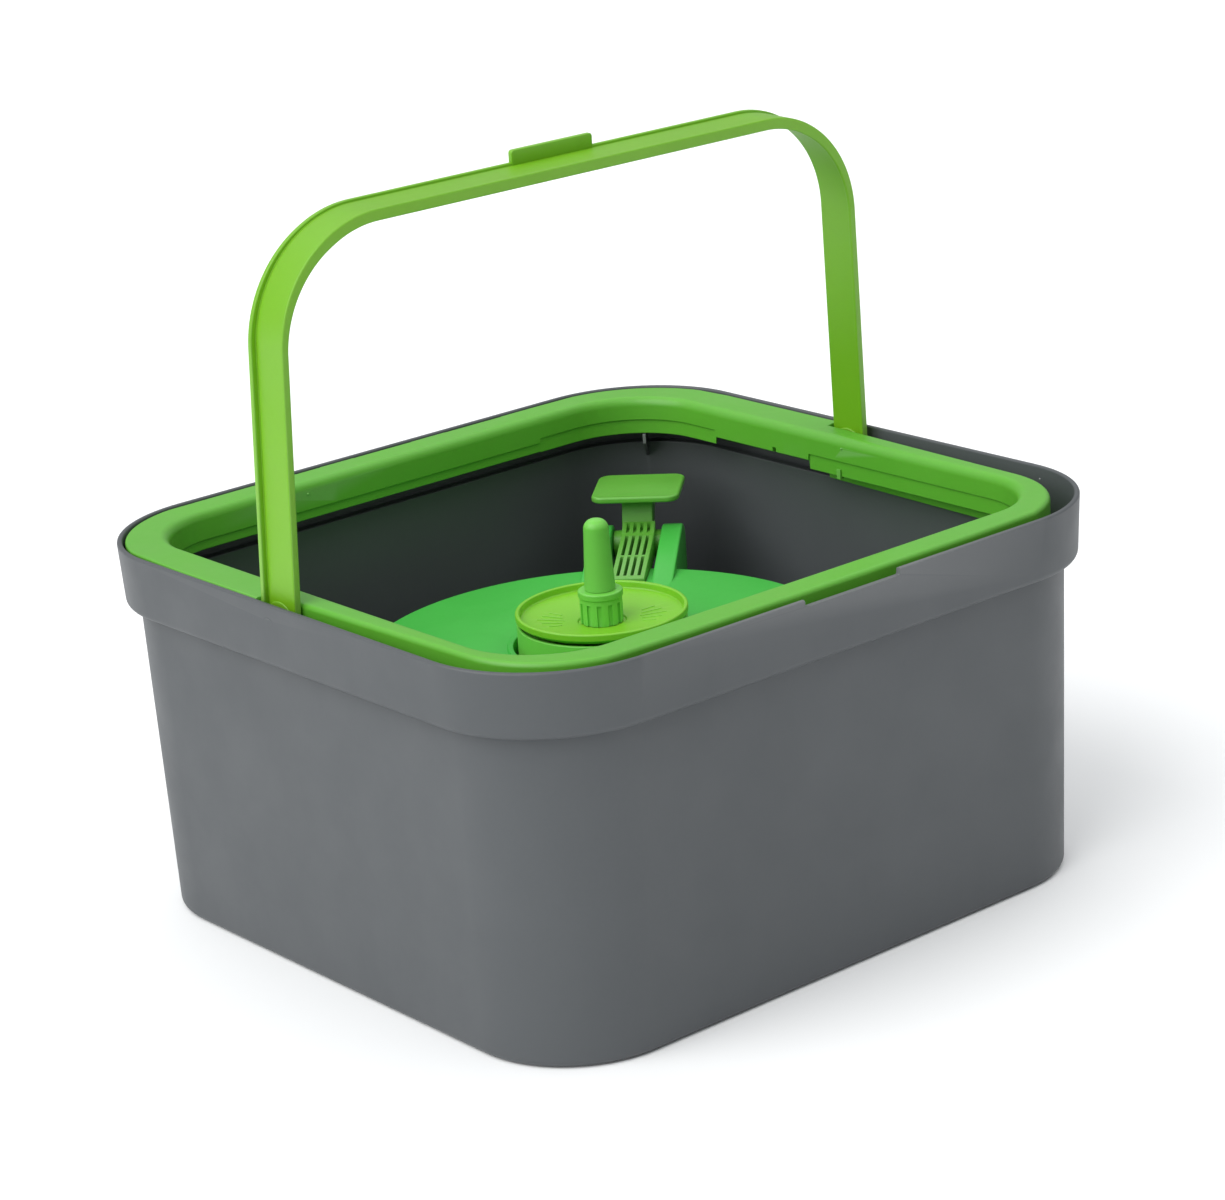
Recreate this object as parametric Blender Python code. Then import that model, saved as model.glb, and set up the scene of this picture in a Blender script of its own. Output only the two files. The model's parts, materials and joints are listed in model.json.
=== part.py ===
"""Spin mop bucket: a square bucket with a drop-in rim frame, a folding carry handle, and a pedal-driven
spinning unit that stands on the bucket's floor.

Run with: blender --background --python part.py
Units are metres, +Z is up, and the origin is the bottom centre of the bucket. X runs along the handle's
pivot axis, and the handle folds down towards -Y. The pedal stands towards the +X +Y corner.
"""

from math import atan, cos, degrees, hypot, pi, radians, sin, sqrt, tan

import bmesh
import bpy
from mathutils import Matrix, Vector

MM = 0.001
GAP = 0.3 * MM                      # between pieces that touch

# Bucket
HALF_X = 195.0 * MM                 # outside of the rim
HALF_Y = 187.1 * MM
HEIGHT = 197.1 * MM
RIM_RADIUS = 68.3 * MM              # plan radius of the rim's corners
BASE_RADIUS = 57.0 * MM
BAND_BOTTOM = 164.4 * MM            # the rim band steps out from the body here
BAND_INSET = 1.7 * MM
BODY_TOP_INSET = 8.6 * MM
BODY_BASE_INSET = 12.4 * MM
BAND_ROUND = 6.0 * MM
BASE_ROUND = 4.6 * MM
WALL = 2.8 * MM
FLOOR_LOW, FLOOR_TOP = 3.0 * MM, 6.0 * MM
NOTCH_HALF, NOTCH_FLOOR = 30.5 * MM, 193.6 * MM

# Carry handle
PIVOT_Y, PIVOT_Z = 9.0 * MM, 184.5 * MM
HANDLE_LEAN = radians(1.5)          # how far the resting handle leans forward of upright
HANDLE_X = 187.6 * MM               # outer face at the pivot
HANDLE_SLOPE = 0.038                # the legs lean in by this much for each unit of height
HANDLE_REACH = 191.5 * MM           # pivot to the top bar's outer face
HANDLE_CORNER = 60.0 * MM
STRIP_HALF = 12.1 * MM
STRIP_WALL = 2.4 * MM
STRIP_RETURN = 4.0 * MM             # depth of the front edge on the legs
TOP_RETURN, TOP_LIP = 6.0 * MM, 1.1 * MM        # and on the top bar, with its lip
LIP, LIP_WIDTH = 2.5 * MM, 2.6 * MM
PIN_RADIUS, PIN_TIP = 5.0 * MM, 192.8 * MM
TAB_HALF, TAB_HEIGHT = 25.5 * MM, 7.2 * MM
BOSS_RADIUS, BOSS_FACE = 8.0 * MM, 188.8 * MM

# Rim frame
FRAME_TOP = 196.6 * MM
FRAME_HALF_X, FRAME_BACK_Y, FRAME_FRONT_Y = 167.5 * MM, 164.5 * MM, -157.2 * MM   # its opening
FRAME_RADIUS = 45.0 * MM
FRAME_WALL = 2.4 * MM
FRAME_ROUND = 5.0 * MM
SKIRT_BOTTOM = 177.6 * MM
CHANNEL_FLOOR = 170.0 * MM          # the handle folds into the channel above this
FRAME_FOOT = 167.5 * MM
FRAME_EDGE_X, FRAME_EDGE_Y = 190.9 * MM, 183.0 * MM   # the top flange's outer edge, at the back
FRAME_FOOT_INSET = 8.0 * MM         # from the rim's outside to the foot's edge
FRAME_STEP_Y = 22.8 * MM            # the top flange is wide behind this line
CHANNEL_GAP = 0.8 * MM

# Spinning unit
PLATFORM_RADIUS = 125.0 * MM
PLATFORM_TOP = 126.8 * MM
PLATFORM_WALL = 2.5 * MM
SKIRT_LOW = 100.0 * MM
WELL_RADIUS = 45.6 * MM
WELL_FLOOR = 109.0 * MM
CASING_RADIUS = 122.2 * MM
CASING_TOP = 121.5 * MM
CASING_WALL = 2.7 * MM
DECK_LOW, DECK_TOP = 93.0 * MM, 95.6 * MM
DISC_RADIUS = 44.0 * MM
DISC_RIM_TOP = 146.3 * MM
SHAFT_RADIUS = 4.0 * MM
BORE_RADIUS = SHAFT_RADIUS + GAP
BUSH_RADIUS = 6.0 * MM
COLLAR_LOW, COLLAR_TOP = 138.9 * MM, 156.0 * MM
COLLAR_RADIUS = 11.5 * MM
COLLAR_SLOTS = 12
SPIGOT_RADIUS = 5.9 * MM            # the post's foot, inside the collar
POST_TOP = 193.0 * MM

# Drive
MODULE = 1.0 * MM
PINION_TEETH = 14
PITCH_RADIUS = MODULE * PINION_TEETH / 2
PRESSURE = radians(20)
BACKLASH = 0.3 * MM
RACK_LOW, RACK_TOP = 96.0 * MM, 104.0 * MM
RACK_TEETH = 13

# Pedal, which stands along this direction from the unit's centre
PEDAL_TURN = radians(43)
HUB_OUT, HUB_Z = 160.0 * MM, 129.0 * MM
HUB_RADIUS, HUB_HALF = 7.5 * MM, 13.2 * MM
PIVOT_PIN_RADIUS = 2.0 * MM
PIN_RIGHT = 22.5 * MM               # the right cheek's pin hole is blind, and ends here
FINGER_LENGTH = 29.0 * MM           # hub axis to the roller that pushes the rack
CHEEK_INNER, CHEEK_OUTER = 13.5 * MM, 25.0 * MM
CHEEK_ROUND = 10.5 * MM
ARM_HALF, ARM_MIDDLE = 9.0 * MM, -1.0 * MM
RIB_PITCH, RIB_GAP = 3.8 * MM, 1.8 * MM
SPRING_ROOM = 5.3 * MM              # radius of the recess in the hub's left end
PAD_OUT, PAD_TOP = 14.0 * MM, 29.0 * MM
PAD_LONG, PAD_WIDE, PAD_THICK = 45.0 * MM, 48.4 * MM, 3.4 * MM
STEM_HALF = 8.5 * MM
EXTENSION_OUT = 170.0 * MM          # the casing's box under the pedal reaches this far
BOX_TOP = 104.9 * MM

GREY = (0.155, 0.165, 0.173)
GREEN = (0.23, 0.52, 0.052)
INNER_GREEN = (0.10, 0.45, 0.055)
BLACK = (0.02, 0.02, 0.022)
STEEL = (0.62, 0.63, 0.64)


def clear_scene():
    for obj in list(bpy.data.objects):
        bpy.data.objects.remove(obj, do_unlink=True)


def make_material(name, colour, roughness, metallic=0.0):
    material = bpy.data.materials.new(name)
    material.use_nodes = True
    shader = material.node_tree.nodes["Principled BSDF"]
    shader.inputs["Base Color"].default_value = (*colour, 1)
    shader.inputs["Roughness"].default_value = roughness
    shader.inputs["Metallic"].default_value = metallic
    material.diffuse_color = (*colour, 1)
    return material


def add_object(name, bm, material=None, parent=None):
    """A mesh object from bm, with its normals made consistent and round parts shaded smooth."""
    bmesh.ops.recalc_face_normals(bm, faces=bm.faces)
    mesh = bpy.data.meshes.new(name)
    bm.to_mesh(mesh)
    bm.free()
    mesh.shade_smooth()
    mesh.set_sharp_from_angle(angle=radians(35))
    obj = bpy.data.objects.new(name, mesh)
    bpy.context.scene.collection.objects.link(obj)
    obj.parent = parent
    if material:
        mesh.materials.append(material)
    return obj


def combine(target, other, operation):
    """Adds a Boolean to target, and keeps the other object as a hidden helper."""
    modifier = target.modifiers.new(f"{operation} {other.name}", "BOOLEAN")
    modifier.operation = operation
    modifier.solver = "EXACT"
    modifier.object = other
    other.hide_render = True
    other.display_type = "WIRE"


def cut(target, *cutters):
    for cutter in cutters:
        combine(target, cutter, "DIFFERENCE")


def join(target, *others):
    for other in others:
        combine(target, other, "UNION")


def loft(bm, rings, closed=False):
    """Faces between neighbouring rings of points. The ends are capped, or joined to each other when closed."""
    verts = [[bm.verts.new(point) for point in ring] for ring in rings]
    pairs = list(zip(verts, verts[1:]))
    if closed:
        pairs.append((verts[-1], verts[0]))
    for low, high in pairs:
        for i in range(len(low)):
            j = (i + 1) % len(low)
            bm.faces.new((low[i], low[j], high[j], high[i]))
    if not closed:
        bm.faces.new(verts[0])
        bm.faces.new(verts[-1])


def turned(name, profile, material=None, steps=48, parent=None):
    """A closed profile of (radius, height) points turned about Z. Points of radius 0 become poles."""
    bm = bmesh.new()
    rings = []
    for radius, height in profile:
        if radius == 0:
            rings.append([bm.verts.new((0, 0, height))])
            continue
        angles = (2 * pi * k / steps for k in range(steps))
        rings.append([bm.verts.new((radius * cos(a), radius * sin(a), height)) for a in angles])
    for a, b in zip(rings, rings[1:] + rings[:1]):
        for i in range(steps):
            j = (i + 1) % steps
            if len(a) > 1 and len(b) > 1:
                bm.faces.new((a[i], a[j], b[j], b[i]))
            elif len(a) > 1:
                bm.faces.new((a[i], a[j], b[0]))
            elif len(b) > 1:
                bm.faces.new((a[0], b[j], b[i]))
    return add_object(name, bm, material, parent)


def prism(name, outline, low, high, material=None, parent=None, axis="Z"):
    """An outline of two coordinates extruded along an axis. Along Y, the outline holds x and z."""
    bm = bmesh.new()
    if axis == "Z":
        ends = [[(x, y, height) for x, y in outline] for height in (low, high)]
    elif axis == "Y":
        ends = [[(x, depth, z) for x, z in outline] for depth in (low, high)]
    else:
        ends = [[(depth, y, z) for y, z in outline] for depth in (low, high)]
    loft(bm, ends)
    return add_object(name, bm, material, parent)


def circle(radius, steps=32, centre=(0, 0)):
    angles = (2 * pi * k / steps for k in range(steps))
    return [(centre[0] + radius * cos(a), centre[1] + radius * sin(a)) for a in angles]


def rectangle(low, high):
    return [low, (high[0], low[1]), high, (low[0], high[1])]


def arc(centre, radius, start, end, steps):
    """Points from one angle to the other, in degrees, both ends included."""
    angles = (radians(start + (end - start) * k / steps) for k in range(steps + 1))
    return [(centre[0] + radius * cos(a), centre[1] + radius * sin(a)) for a in angles]


def rounded_rectangle(half_x, half_y, radius, steps=7):
    points = []
    for side_x, side_y, start in ((1, 1, 0), (-1, 1, 90), (-1, -1, 180), (1, -1, 270)):
        centre = (side_x * (half_x - radius), side_y * (half_y - radius))
        points += arc(centre, radius, start, start + 90, steps)
    return points


def bucket_ring(inset, radius, height):
    outline = rounded_rectangle(HALF_X - inset, HALF_Y - inset, radius)
    return [(x, y, height) for x, y in outline]


def bucket_shell():
    """Rings from the underside's recess out, up the outside, over the rim and down the inside."""
    wall_inset = BODY_TOP_INSET - BODY_BASE_INSET
    inner_floor = BODY_BASE_INSET + WALL
    edge = 0.9 * MM
    path = [(20 * MM, FLOOR_LOW), (19.4 * MM, 0)]
    centre = (BODY_BASE_INSET + BASE_ROUND, BASE_ROUND)
    path += [(x, z) for x, z in arc(centre, BASE_ROUND, 270, 180, 3)]
    centre = (BAND_INSET + BAND_ROUND, BAND_BOTTOM + BAND_ROUND)
    path += [(BODY_TOP_INSET, BAND_BOTTOM)]
    path += [(x, z) for x, z in arc(centre, BAND_ROUND, 270, 180, 3)]
    path += [(0, HEIGHT - edge), (edge, HEIGHT), (WALL - edge, HEIGHT), (WALL, HEIGHT - edge)]
    path += [(x, z) for x, z in arc(centre, BAND_ROUND - WALL, 180, 270, 2)]
    ledge = BAND_BOTTOM + WALL
    path += [(BODY_TOP_INSET + WALL - 0.5 * MM, ledge), (BODY_TOP_INSET + WALL, ledge - 1 * MM)]
    centre = (inner_floor + 3 * MM, FLOOR_TOP + 3 * MM)
    path += [(x, z) for x, z in arc(centre, 3 * MM, 180, 270, 2)]
    rings = []
    for inset, height in path:
        share = min(height / BAND_BOTTOM, 1)
        at_wall = BODY_BASE_INSET + wall_inset * share
        corner = BASE_RADIUS + (RIM_RADIUS - BODY_TOP_INSET - BASE_RADIUS) * share
        rings.append(bucket_ring(inset, corner - (inset - at_wall), height))
    bm = bmesh.new()
    loft(bm, rings)
    return bm


def side_cylinder(name, radius, low, high, material=None, steps=32):
    """A cylinder along X at the handle's pivot."""
    return prism(name, circle(radius, steps, (PIVOT_Y, PIVOT_Z)), low, high, material, axis="X")


def screw_places():
    """Where the four screws that hold the unit to the bucket's floor stand."""
    return [(85 * MM * cos(radians(a)), 85 * MM * sin(radians(a))) for a in (0, 90, 180, 270)]


def make_bucket(material):
    bucket = add_object("bucket", bucket_shell(), material)
    in_wall = HALF_X - 2.2 * MM
    for side in (-1, 1):
        boss = side_cylinder(f"boss{side}", BOSS_RADIUS, side * BOSS_FACE, side * in_wall)
        join(bucket, boss)
    hole_end = HALF_X - 1.8 * MM
    for side in (-1, 1):
        hole = side_cylinder(f"socket{side}", PIN_RADIUS + 0.4 * MM, side * 180 * MM, side * hole_end)
        cut(bucket, hole)
    reach = rectangle((-NOTCH_HALF, -HALF_Y - 10 * MM), (NOTCH_HALF, -HALF_Y + 10 * MM))
    cut(bucket, prism("rim_notch", reach, NOTCH_FLOOR, HEIGHT + 5 * MM))
    for k, place in enumerate(screw_places()):
        cut(bucket, prism(f"floor_hole_{k}", circle(2.4 * MM, 16, place), -1 * MM, 12 * MM))
    return bucket


def handle_outline(steps=10):
    """Half of the handle's outer face as (x, distance from the pivot)."""
    lean = atan(HANDLE_SLOPE)
    low = HANDLE_REACH - HANDLE_CORNER
    centre_x = HANDLE_X - HANDLE_SLOPE * low - HANDLE_CORNER / cos(lean)
    return [(HANDLE_X, 0)] + arc((centre_x, low), HANDLE_CORNER, degrees(lean), 90, steps)


def strip_section(lip, depth):
    """The strip's section as (outward, across), from its front edge round to its back edge."""
    back = STRIP_HALF - LIP_WIDTH
    front = -STRIP_HALF + 2.2 * MM
    return [
        (0, -STRIP_HALF), (0, back), (lip, back), (lip, STRIP_HALF), (-STRIP_WALL, STRIP_HALF),
        (-STRIP_WALL, front), (-depth, front), (-depth, -STRIP_HALF),
    ]


def handle_path():
    """Points and outward directions along the whole handle, with each one's lip and front edge depth."""
    half = handle_outline()
    lean = atan(HANDLE_SLOPE)
    steps = len(half) - 2
    right = [(half[0], (cos(lean), sin(lean)), LIP, STRIP_RETURN)]
    for k in range(steps + 1):
        angle = lean + (pi / 2 - lean) * k / steps
        share = min(1, 1.5 * k / steps)
        lip, depth = LIP + (TOP_LIP - LIP) * share, STRIP_RETURN + (TOP_RETURN - STRIP_RETURN) * share
        right.append((half[k + 1], (cos(angle), sin(angle)), lip, depth))
    left = [((-x, z), (-nx, nz), lip, depth) for (x, z), (nx, nz), lip, depth in reversed(right)]
    return right + left


def make_handle(material):
    """The bail, made upright about its pivot axis and then leaned to its resting angle."""
    bm = bmesh.new()
    rings = []
    for (x, z), (nx, nz), lip, depth in handle_path():
        section = strip_section(lip, depth)
        rings.append([(x + out * nx, across, z + out * nz) for out, across in section])
    loft(bm, rings)
    handle = add_object("carry_handle", bm, material)
    for side in (-1, 1):
        inner, outer = side * (HANDLE_X - STRIP_RETURN), side * (HANDLE_X - 0.05 * MM)
        foot = prism(f"foot{side}", circle(STRIP_HALF - 0.05 * MM), inner, outer, axis="X")
        inner = side * (HANDLE_X - 2 * MM)
        pin = prism(f"trunnion{side}", circle(PIN_RADIUS), inner, side * PIN_TIP, axis="X")
        join(handle, foot, pin)
        foot.parent = pin.parent = handle
    low, high = HANDLE_REACH - 1 * MM, HANDLE_REACH + TAB_HEIGHT
    chamfer = 1.5 * MM
    outline = [
        (-TAB_HALF, low), (TAB_HALF, low), (TAB_HALF, high - chamfer), (TAB_HALF - chamfer, high),
        (-TAB_HALF + chamfer, high), (-TAB_HALF, high - chamfer),
    ]
    tab = prism("finger_tab", outline, STRIP_HALF - LIP_WIDTH, STRIP_HALF - 0.02 * MM, axis="Y")
    tab.parent = handle
    join(handle, tab)
    handle.location = (0, PIVOT_Y, PIVOT_Z)
    handle.rotation_euler.x = HANDLE_LEAN
    return handle


def channel_outline():
    """The frame's outer edge in front of the pivots: the folded handle's inside, less a clearance."""
    path = handle_path()
    right = []
    for (x, reach), (nx, nz), _, depth in path[:len(path) // 2]:
        inward = depth + CHANNEL_GAP
        right.append((x - nx * inward, PIVOT_Y - reach + nz * inward))
    foot_x, foot_y = right[0]
    right[0] = (foot_x + HANDLE_SLOPE * (FRAME_STEP_Y - foot_y), FRAME_STEP_Y)
    return right


def ray_to(outline, direction):
    """Where the ray from the origin crosses an outline that goes once round it."""
    for (ax, ay), (bx, by) in zip(outline, outline[1:] + outline[:1]):
        dx, dy = bx - ax, by - ay
        across = direction[0] * dy - direction[1] * dx
        if abs(across) < 1e-12:
            continue
        along = (ax * dy - ay * dx) / across
        share = (ax * direction[1] - ay * direction[0]) / across
        if along > 0 and -1e-9 <= share <= 1 + 1e-9:
            return along * direction[0], along * direction[1]
    raise ValueError("the outline doesn't go round the origin")


def frame_section(inner, top_edge, foot_edge, wide):
    """One section of the rim frame, along a ray from a point on its opening.

    At the wide back the outer skirt reaches down to the foot. In front the foot is the channel's floor.
    """
    def out(distance, height):
        share = distance / hypot(*inner) + 1
        return inner[0] * share, inner[1] * share, height

    width = hypot(*top_edge) - hypot(*inner)
    foot = hypot(*foot_edge) - hypot(*inner)
    edge = 1.0 * MM
    under = FRAME_TOP - FRAME_WALL
    if wide:
        ankle = [out(width - edge, FRAME_FOOT + 4.5 * MM), out(foot, FRAME_FOOT + 1.1 * MM)]
        sole = [out(foot - FRAME_WALL, FRAME_FOOT), out(width - edge - FRAME_WALL, FRAME_FOOT + 5 * MM)]
    else:
        ankle = [out(width, CHANNEL_FLOOR), out(foot, CHANNEL_FLOOR)]
        sole = [out(width - FRAME_WALL, FRAME_FOOT), out(width - FRAME_WALL, FRAME_FOOT + 5 * MM)]
    return [
        out(0, SKIRT_BOTTOM), out(0, FRAME_TOP - FRAME_ROUND),
        out(0.3 * FRAME_ROUND, FRAME_TOP - 0.3 * FRAME_ROUND), out(FRAME_ROUND, FRAME_TOP),
        out(width - edge, FRAME_TOP), out(width, FRAME_TOP - edge), *ankle, out(foot, FRAME_FOOT), *sole,
        out(width - FRAME_WALL, under), out(FRAME_WALL, under), out(FRAME_WALL, SKIRT_BOTTOM),
    ]


def make_rim_frame(material):
    """The ring that drops into the rim: wide at the back, and with the handle's channel round its front."""
    half_y, middle_y = (FRAME_BACK_Y - FRAME_FRONT_Y) / 2, (FRAME_BACK_Y + FRAME_FRONT_Y) / 2
    opening = [(x, y + middle_y) for x, y in rounded_rectangle(FRAME_HALF_X, half_y, FRAME_RADIUS, 7)]
    inset = FRAME_FOOT_INSET
    foot = rounded_rectangle(HALF_X - inset, HALF_Y - inset, RIM_RADIUS - inset, 12)
    back = rounded_rectangle(FRAME_EDGE_X, FRAME_EDGE_Y, RIM_RADIUS - (HALF_X - FRAME_EDGE_X), 12)
    right = channel_outline()
    front = right + [(-x, y) for x, y in reversed(right)]
    front += [(-HALF_X, HALF_Y), (HALF_X, HALF_Y)]
    step = 0.4 * MM
    stations = list(opening)
    for side in (1, -1):
        for y in (FRAME_STEP_Y - step, FRAME_STEP_Y + step):
            stations.append((side * FRAME_HALF_X, y * FRAME_HALF_X / FRAME_EDGE_X))
    stations.sort(key=lambda point: -Vector(point).angle_signed(Vector((1, 0))) % (2 * pi))
    bm = bmesh.new()
    rings = []
    for inner in stations:
        wide = inner[1] > FRAME_STEP_Y * FRAME_HALF_X / FRAME_EDGE_X
        top_edge = ray_to(back if wide else front, inner)
        rings.append(frame_section(inner, top_edge, ray_to(foot, inner), wide))
    loft(bm, rings, closed=True)
    return add_object("rim_frame", bm, material)


def pedal_place(name):
    """An empty on the pedal's hinge axis: its X points away from the unit's centre, its Y along the axis."""
    empty = bpy.data.objects.new(name, None)
    bpy.context.scene.collection.objects.link(empty)
    empty.location = (HUB_OUT * cos(PEDAL_TURN), HUB_OUT * sin(PEDAL_TURN), HUB_Z)
    empty.rotation_euler.z = PEDAL_TURN
    return empty


def out_from_hub(distance):
    """A distance from the unit's centre, along the pedal's direction, counted from the hub axis."""
    return distance - HUB_OUT


def up_from_hub(height):
    return height - HUB_Z


def turn_to_pedal(obj):
    obj.rotation_euler.z = PEDAL_TURN
    return obj


def radial_hole(name, angle, height, radius):
    """A short horizontal cutter through the casing's wall at an angle about Z."""
    hole = prism(name, circle(radius, 16, (0, height)), 110 * MM, 135 * MM, axis="X")
    hole.rotation_euler.z = angle
    return hole


COVER_SCREW_ANGLES = [PEDAL_TURN + radians(45 + 90 * k) for k in range(4)]
COVER_SCREW_Z = 109.0 * MM


def make_top_cover(material, pedal):
    """The platform, the well that the drum turns in, and the two cheeks that carry the pedal."""
    well = WELL_RADIUS
    under = PLATFORM_TOP - PLATFORM_WALL
    hub_low, hub_top = 105.5 * MM, 117.0 * MM
    bore = BUSH_RADIUS + GAP
    floor_top = WELL_FLOOR + PLATFORM_WALL
    hub = 11.0 * MM
    profile = [
        (bore, hub_low), (hub, hub_low), (hub, WELL_FLOOR), (well + 2.3 * MM, WELL_FLOOR),
        (well + 2.3 * MM, under), (CASING_RADIUS + 0.4 * MM, under), (CASING_RADIUS + 0.4 * MM, SKIRT_LOW),
        (PLATFORM_RADIUS, SKIRT_LOW), (PLATFORM_RADIUS, PLATFORM_TOP - 1.6 * MM),
        (PLATFORM_RADIUS - 1.4 * MM, PLATFORM_TOP - 0.4 * MM), (well + 3.6 * MM, PLATFORM_TOP + 0.6 * MM),
        (well + 3.0 * MM, PLATFORM_TOP + 2.0 * MM), (well + 0.6 * MM, PLATFORM_TOP + 2.0 * MM),
        (well, PLATFORM_TOP + 1.4 * MM), (well, floor_top), (hub, floor_top), (hub, hub_top),
        (bore, hub_top),
    ]
    cover = turned("top_cover", profile, material, steps=40)
    start, end = out_from_hub(92 * MM), CHEEK_ROUND
    low = up_from_hub(104.5 * MM)
    outline = [(start, low), (end, low)] + arc((0, 0), CHEEK_ROUND, 0, 100, 7)
    outline += [(start, up_from_hub(PLATFORM_TOP - 1 * MM))]
    for side in (-1, 1):
        inner, outer = side * CHEEK_INNER, side * CHEEK_OUTER
        join(cover, prism(f"cheek{side}", outline, inner, outer, parent=pedal, axis="Y"))
    box_room = rectangle((out_from_hub(85 * MM), up_from_hub(90 * MM)), (30 * MM, up_from_hub(BOX_TOP) + GAP))
    room_half = CHEEK_OUTER + 0.5 * MM
    cut(cover, prism("box_room", box_room, -room_half, room_half, parent=pedal, axis="Y"))
    slot = rectangle((out_from_hub(94 * MM), up_from_hub(98 * MM)), (20 * MM, 12 * MM))
    slot_half = CHEEK_INNER - 3 * MM
    cut(cover, prism("arm_slot", slot, -slot_half, slot_half, parent=pedal, axis="Y"))
    pin_hole = circle(PIVOT_PIN_RADIUS + GAP, 20)
    cut(cover, prism("pin_hole", pin_hole, -PIN_RIGHT, 30 * MM, parent=pedal, axis="Y"))
    for k, angle in enumerate(COVER_SCREW_ANGLES):
        cut(cover, radial_hole(f"cover_hole_{k}", angle, COVER_SCREW_Z, 1.8 * MM))
    return cover


def make_base_casing(material):
    """The round casing that stands on the bucket's floor, with a box out under the pedal."""
    outer, inner = CASING_RADIUS, CASING_RADIUS - CASING_WALL
    low = FLOOR_TOP + GAP
    floor = low + 3 * MM
    boss, bore = 11 * MM, BUSH_RADIUS + GAP
    profile = [
        (0, low), (outer - 3 * MM, low), (outer, low + 3 * MM), (outer, CASING_TOP), (inner, CASING_TOP),
        (inner, floor), (boss, floor), (boss, 22 * MM), (bore, 22 * MM), (bore, 10 * MM), (0, 10 * MM),
    ]
    casing = turned("base_casing", profile, material, steps=40)
    wide, wall = CHEEK_OUTER, 3 * MM
    outside = rectangle((118 * MM, low + 0.01 * MM), (EXTENSION_OUT, BOX_TOP))
    join(casing, turn_to_pedal(prism("pedal_box", outside, -wide, wide, axis="Y")))
    inside = rectangle((85 * MM, floor + 0.01 * MM), (EXTENSION_OUT - wall, CASING_TOP + 5 * MM))
    cut(casing, turn_to_pedal(prism("pedal_box_inside", inside, -wide + wall, wide - wall, axis="Y")))
    above = rectangle((100 * MM, BOX_TOP - 0.01 * MM), (135 * MM, CASING_TOP + 5 * MM))
    cheek_room = wide + 0.5 * MM
    cut(casing, turn_to_pedal(prism("cheek_room", above, -cheek_room, cheek_room, axis="Y")))
    for k, (x, y) in enumerate(screw_places()):
        post = prism(f"floor_post_{k}", circle(6 * MM, 20, (x, y)), low + 0.5 * MM, 19 * MM)
        join(casing, post)
    for k, (x, y) in enumerate(screw_places()):
        cut(casing, prism(f"post_hole_{k}", circle(2.3 * MM, 16, (x, y)), 0, 16 * MM))
    for k, angle in enumerate(COVER_SCREW_ANGLES):
        cut(casing, radial_hole(f"casing_hole_{k}", angle, COVER_SCREW_Z, 1.8 * MM))
    return casing


def make_gear_deck(material):
    """The inner plate that the pinion turns over and the rack slides on, on four legs."""
    inner = CASING_RADIUS - CASING_WALL - 0.5 * MM
    profile = [(13 * MM, DECK_LOW), (inner, DECK_LOW), (inner, DECK_TOP), (13 * MM, DECK_TOP)]
    deck = turned("gear_deck", profile, material, steps=40)
    for k in range(4):
        angle = PEDAL_TURN + radians(45 + 90 * k)
        place = (100 * MM * cos(angle), 100 * MM * sin(angle))
        join(deck, prism(f"deck_leg_{k}", circle(5 * MM, 20, place), 9.7 * MM, DECK_LOW + 1 * MM))
    rail_top = RACK_TOP - 1 * MM
    rails = ((15.4 * MM, 17.9 * MM, -30 * MM, 112 * MM), (4.6 * MM, 7.8 * MM, 36 * MM, 112 * MM))
    for k, (near, far, start, end) in enumerate(rails):
        outline = rectangle((start, DECK_LOW + 1 * MM), (end, rail_top))
        join(deck, turn_to_pedal(prism(f"rail_{k}", outline, near, far, axis="Y")))
    return deck


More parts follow.
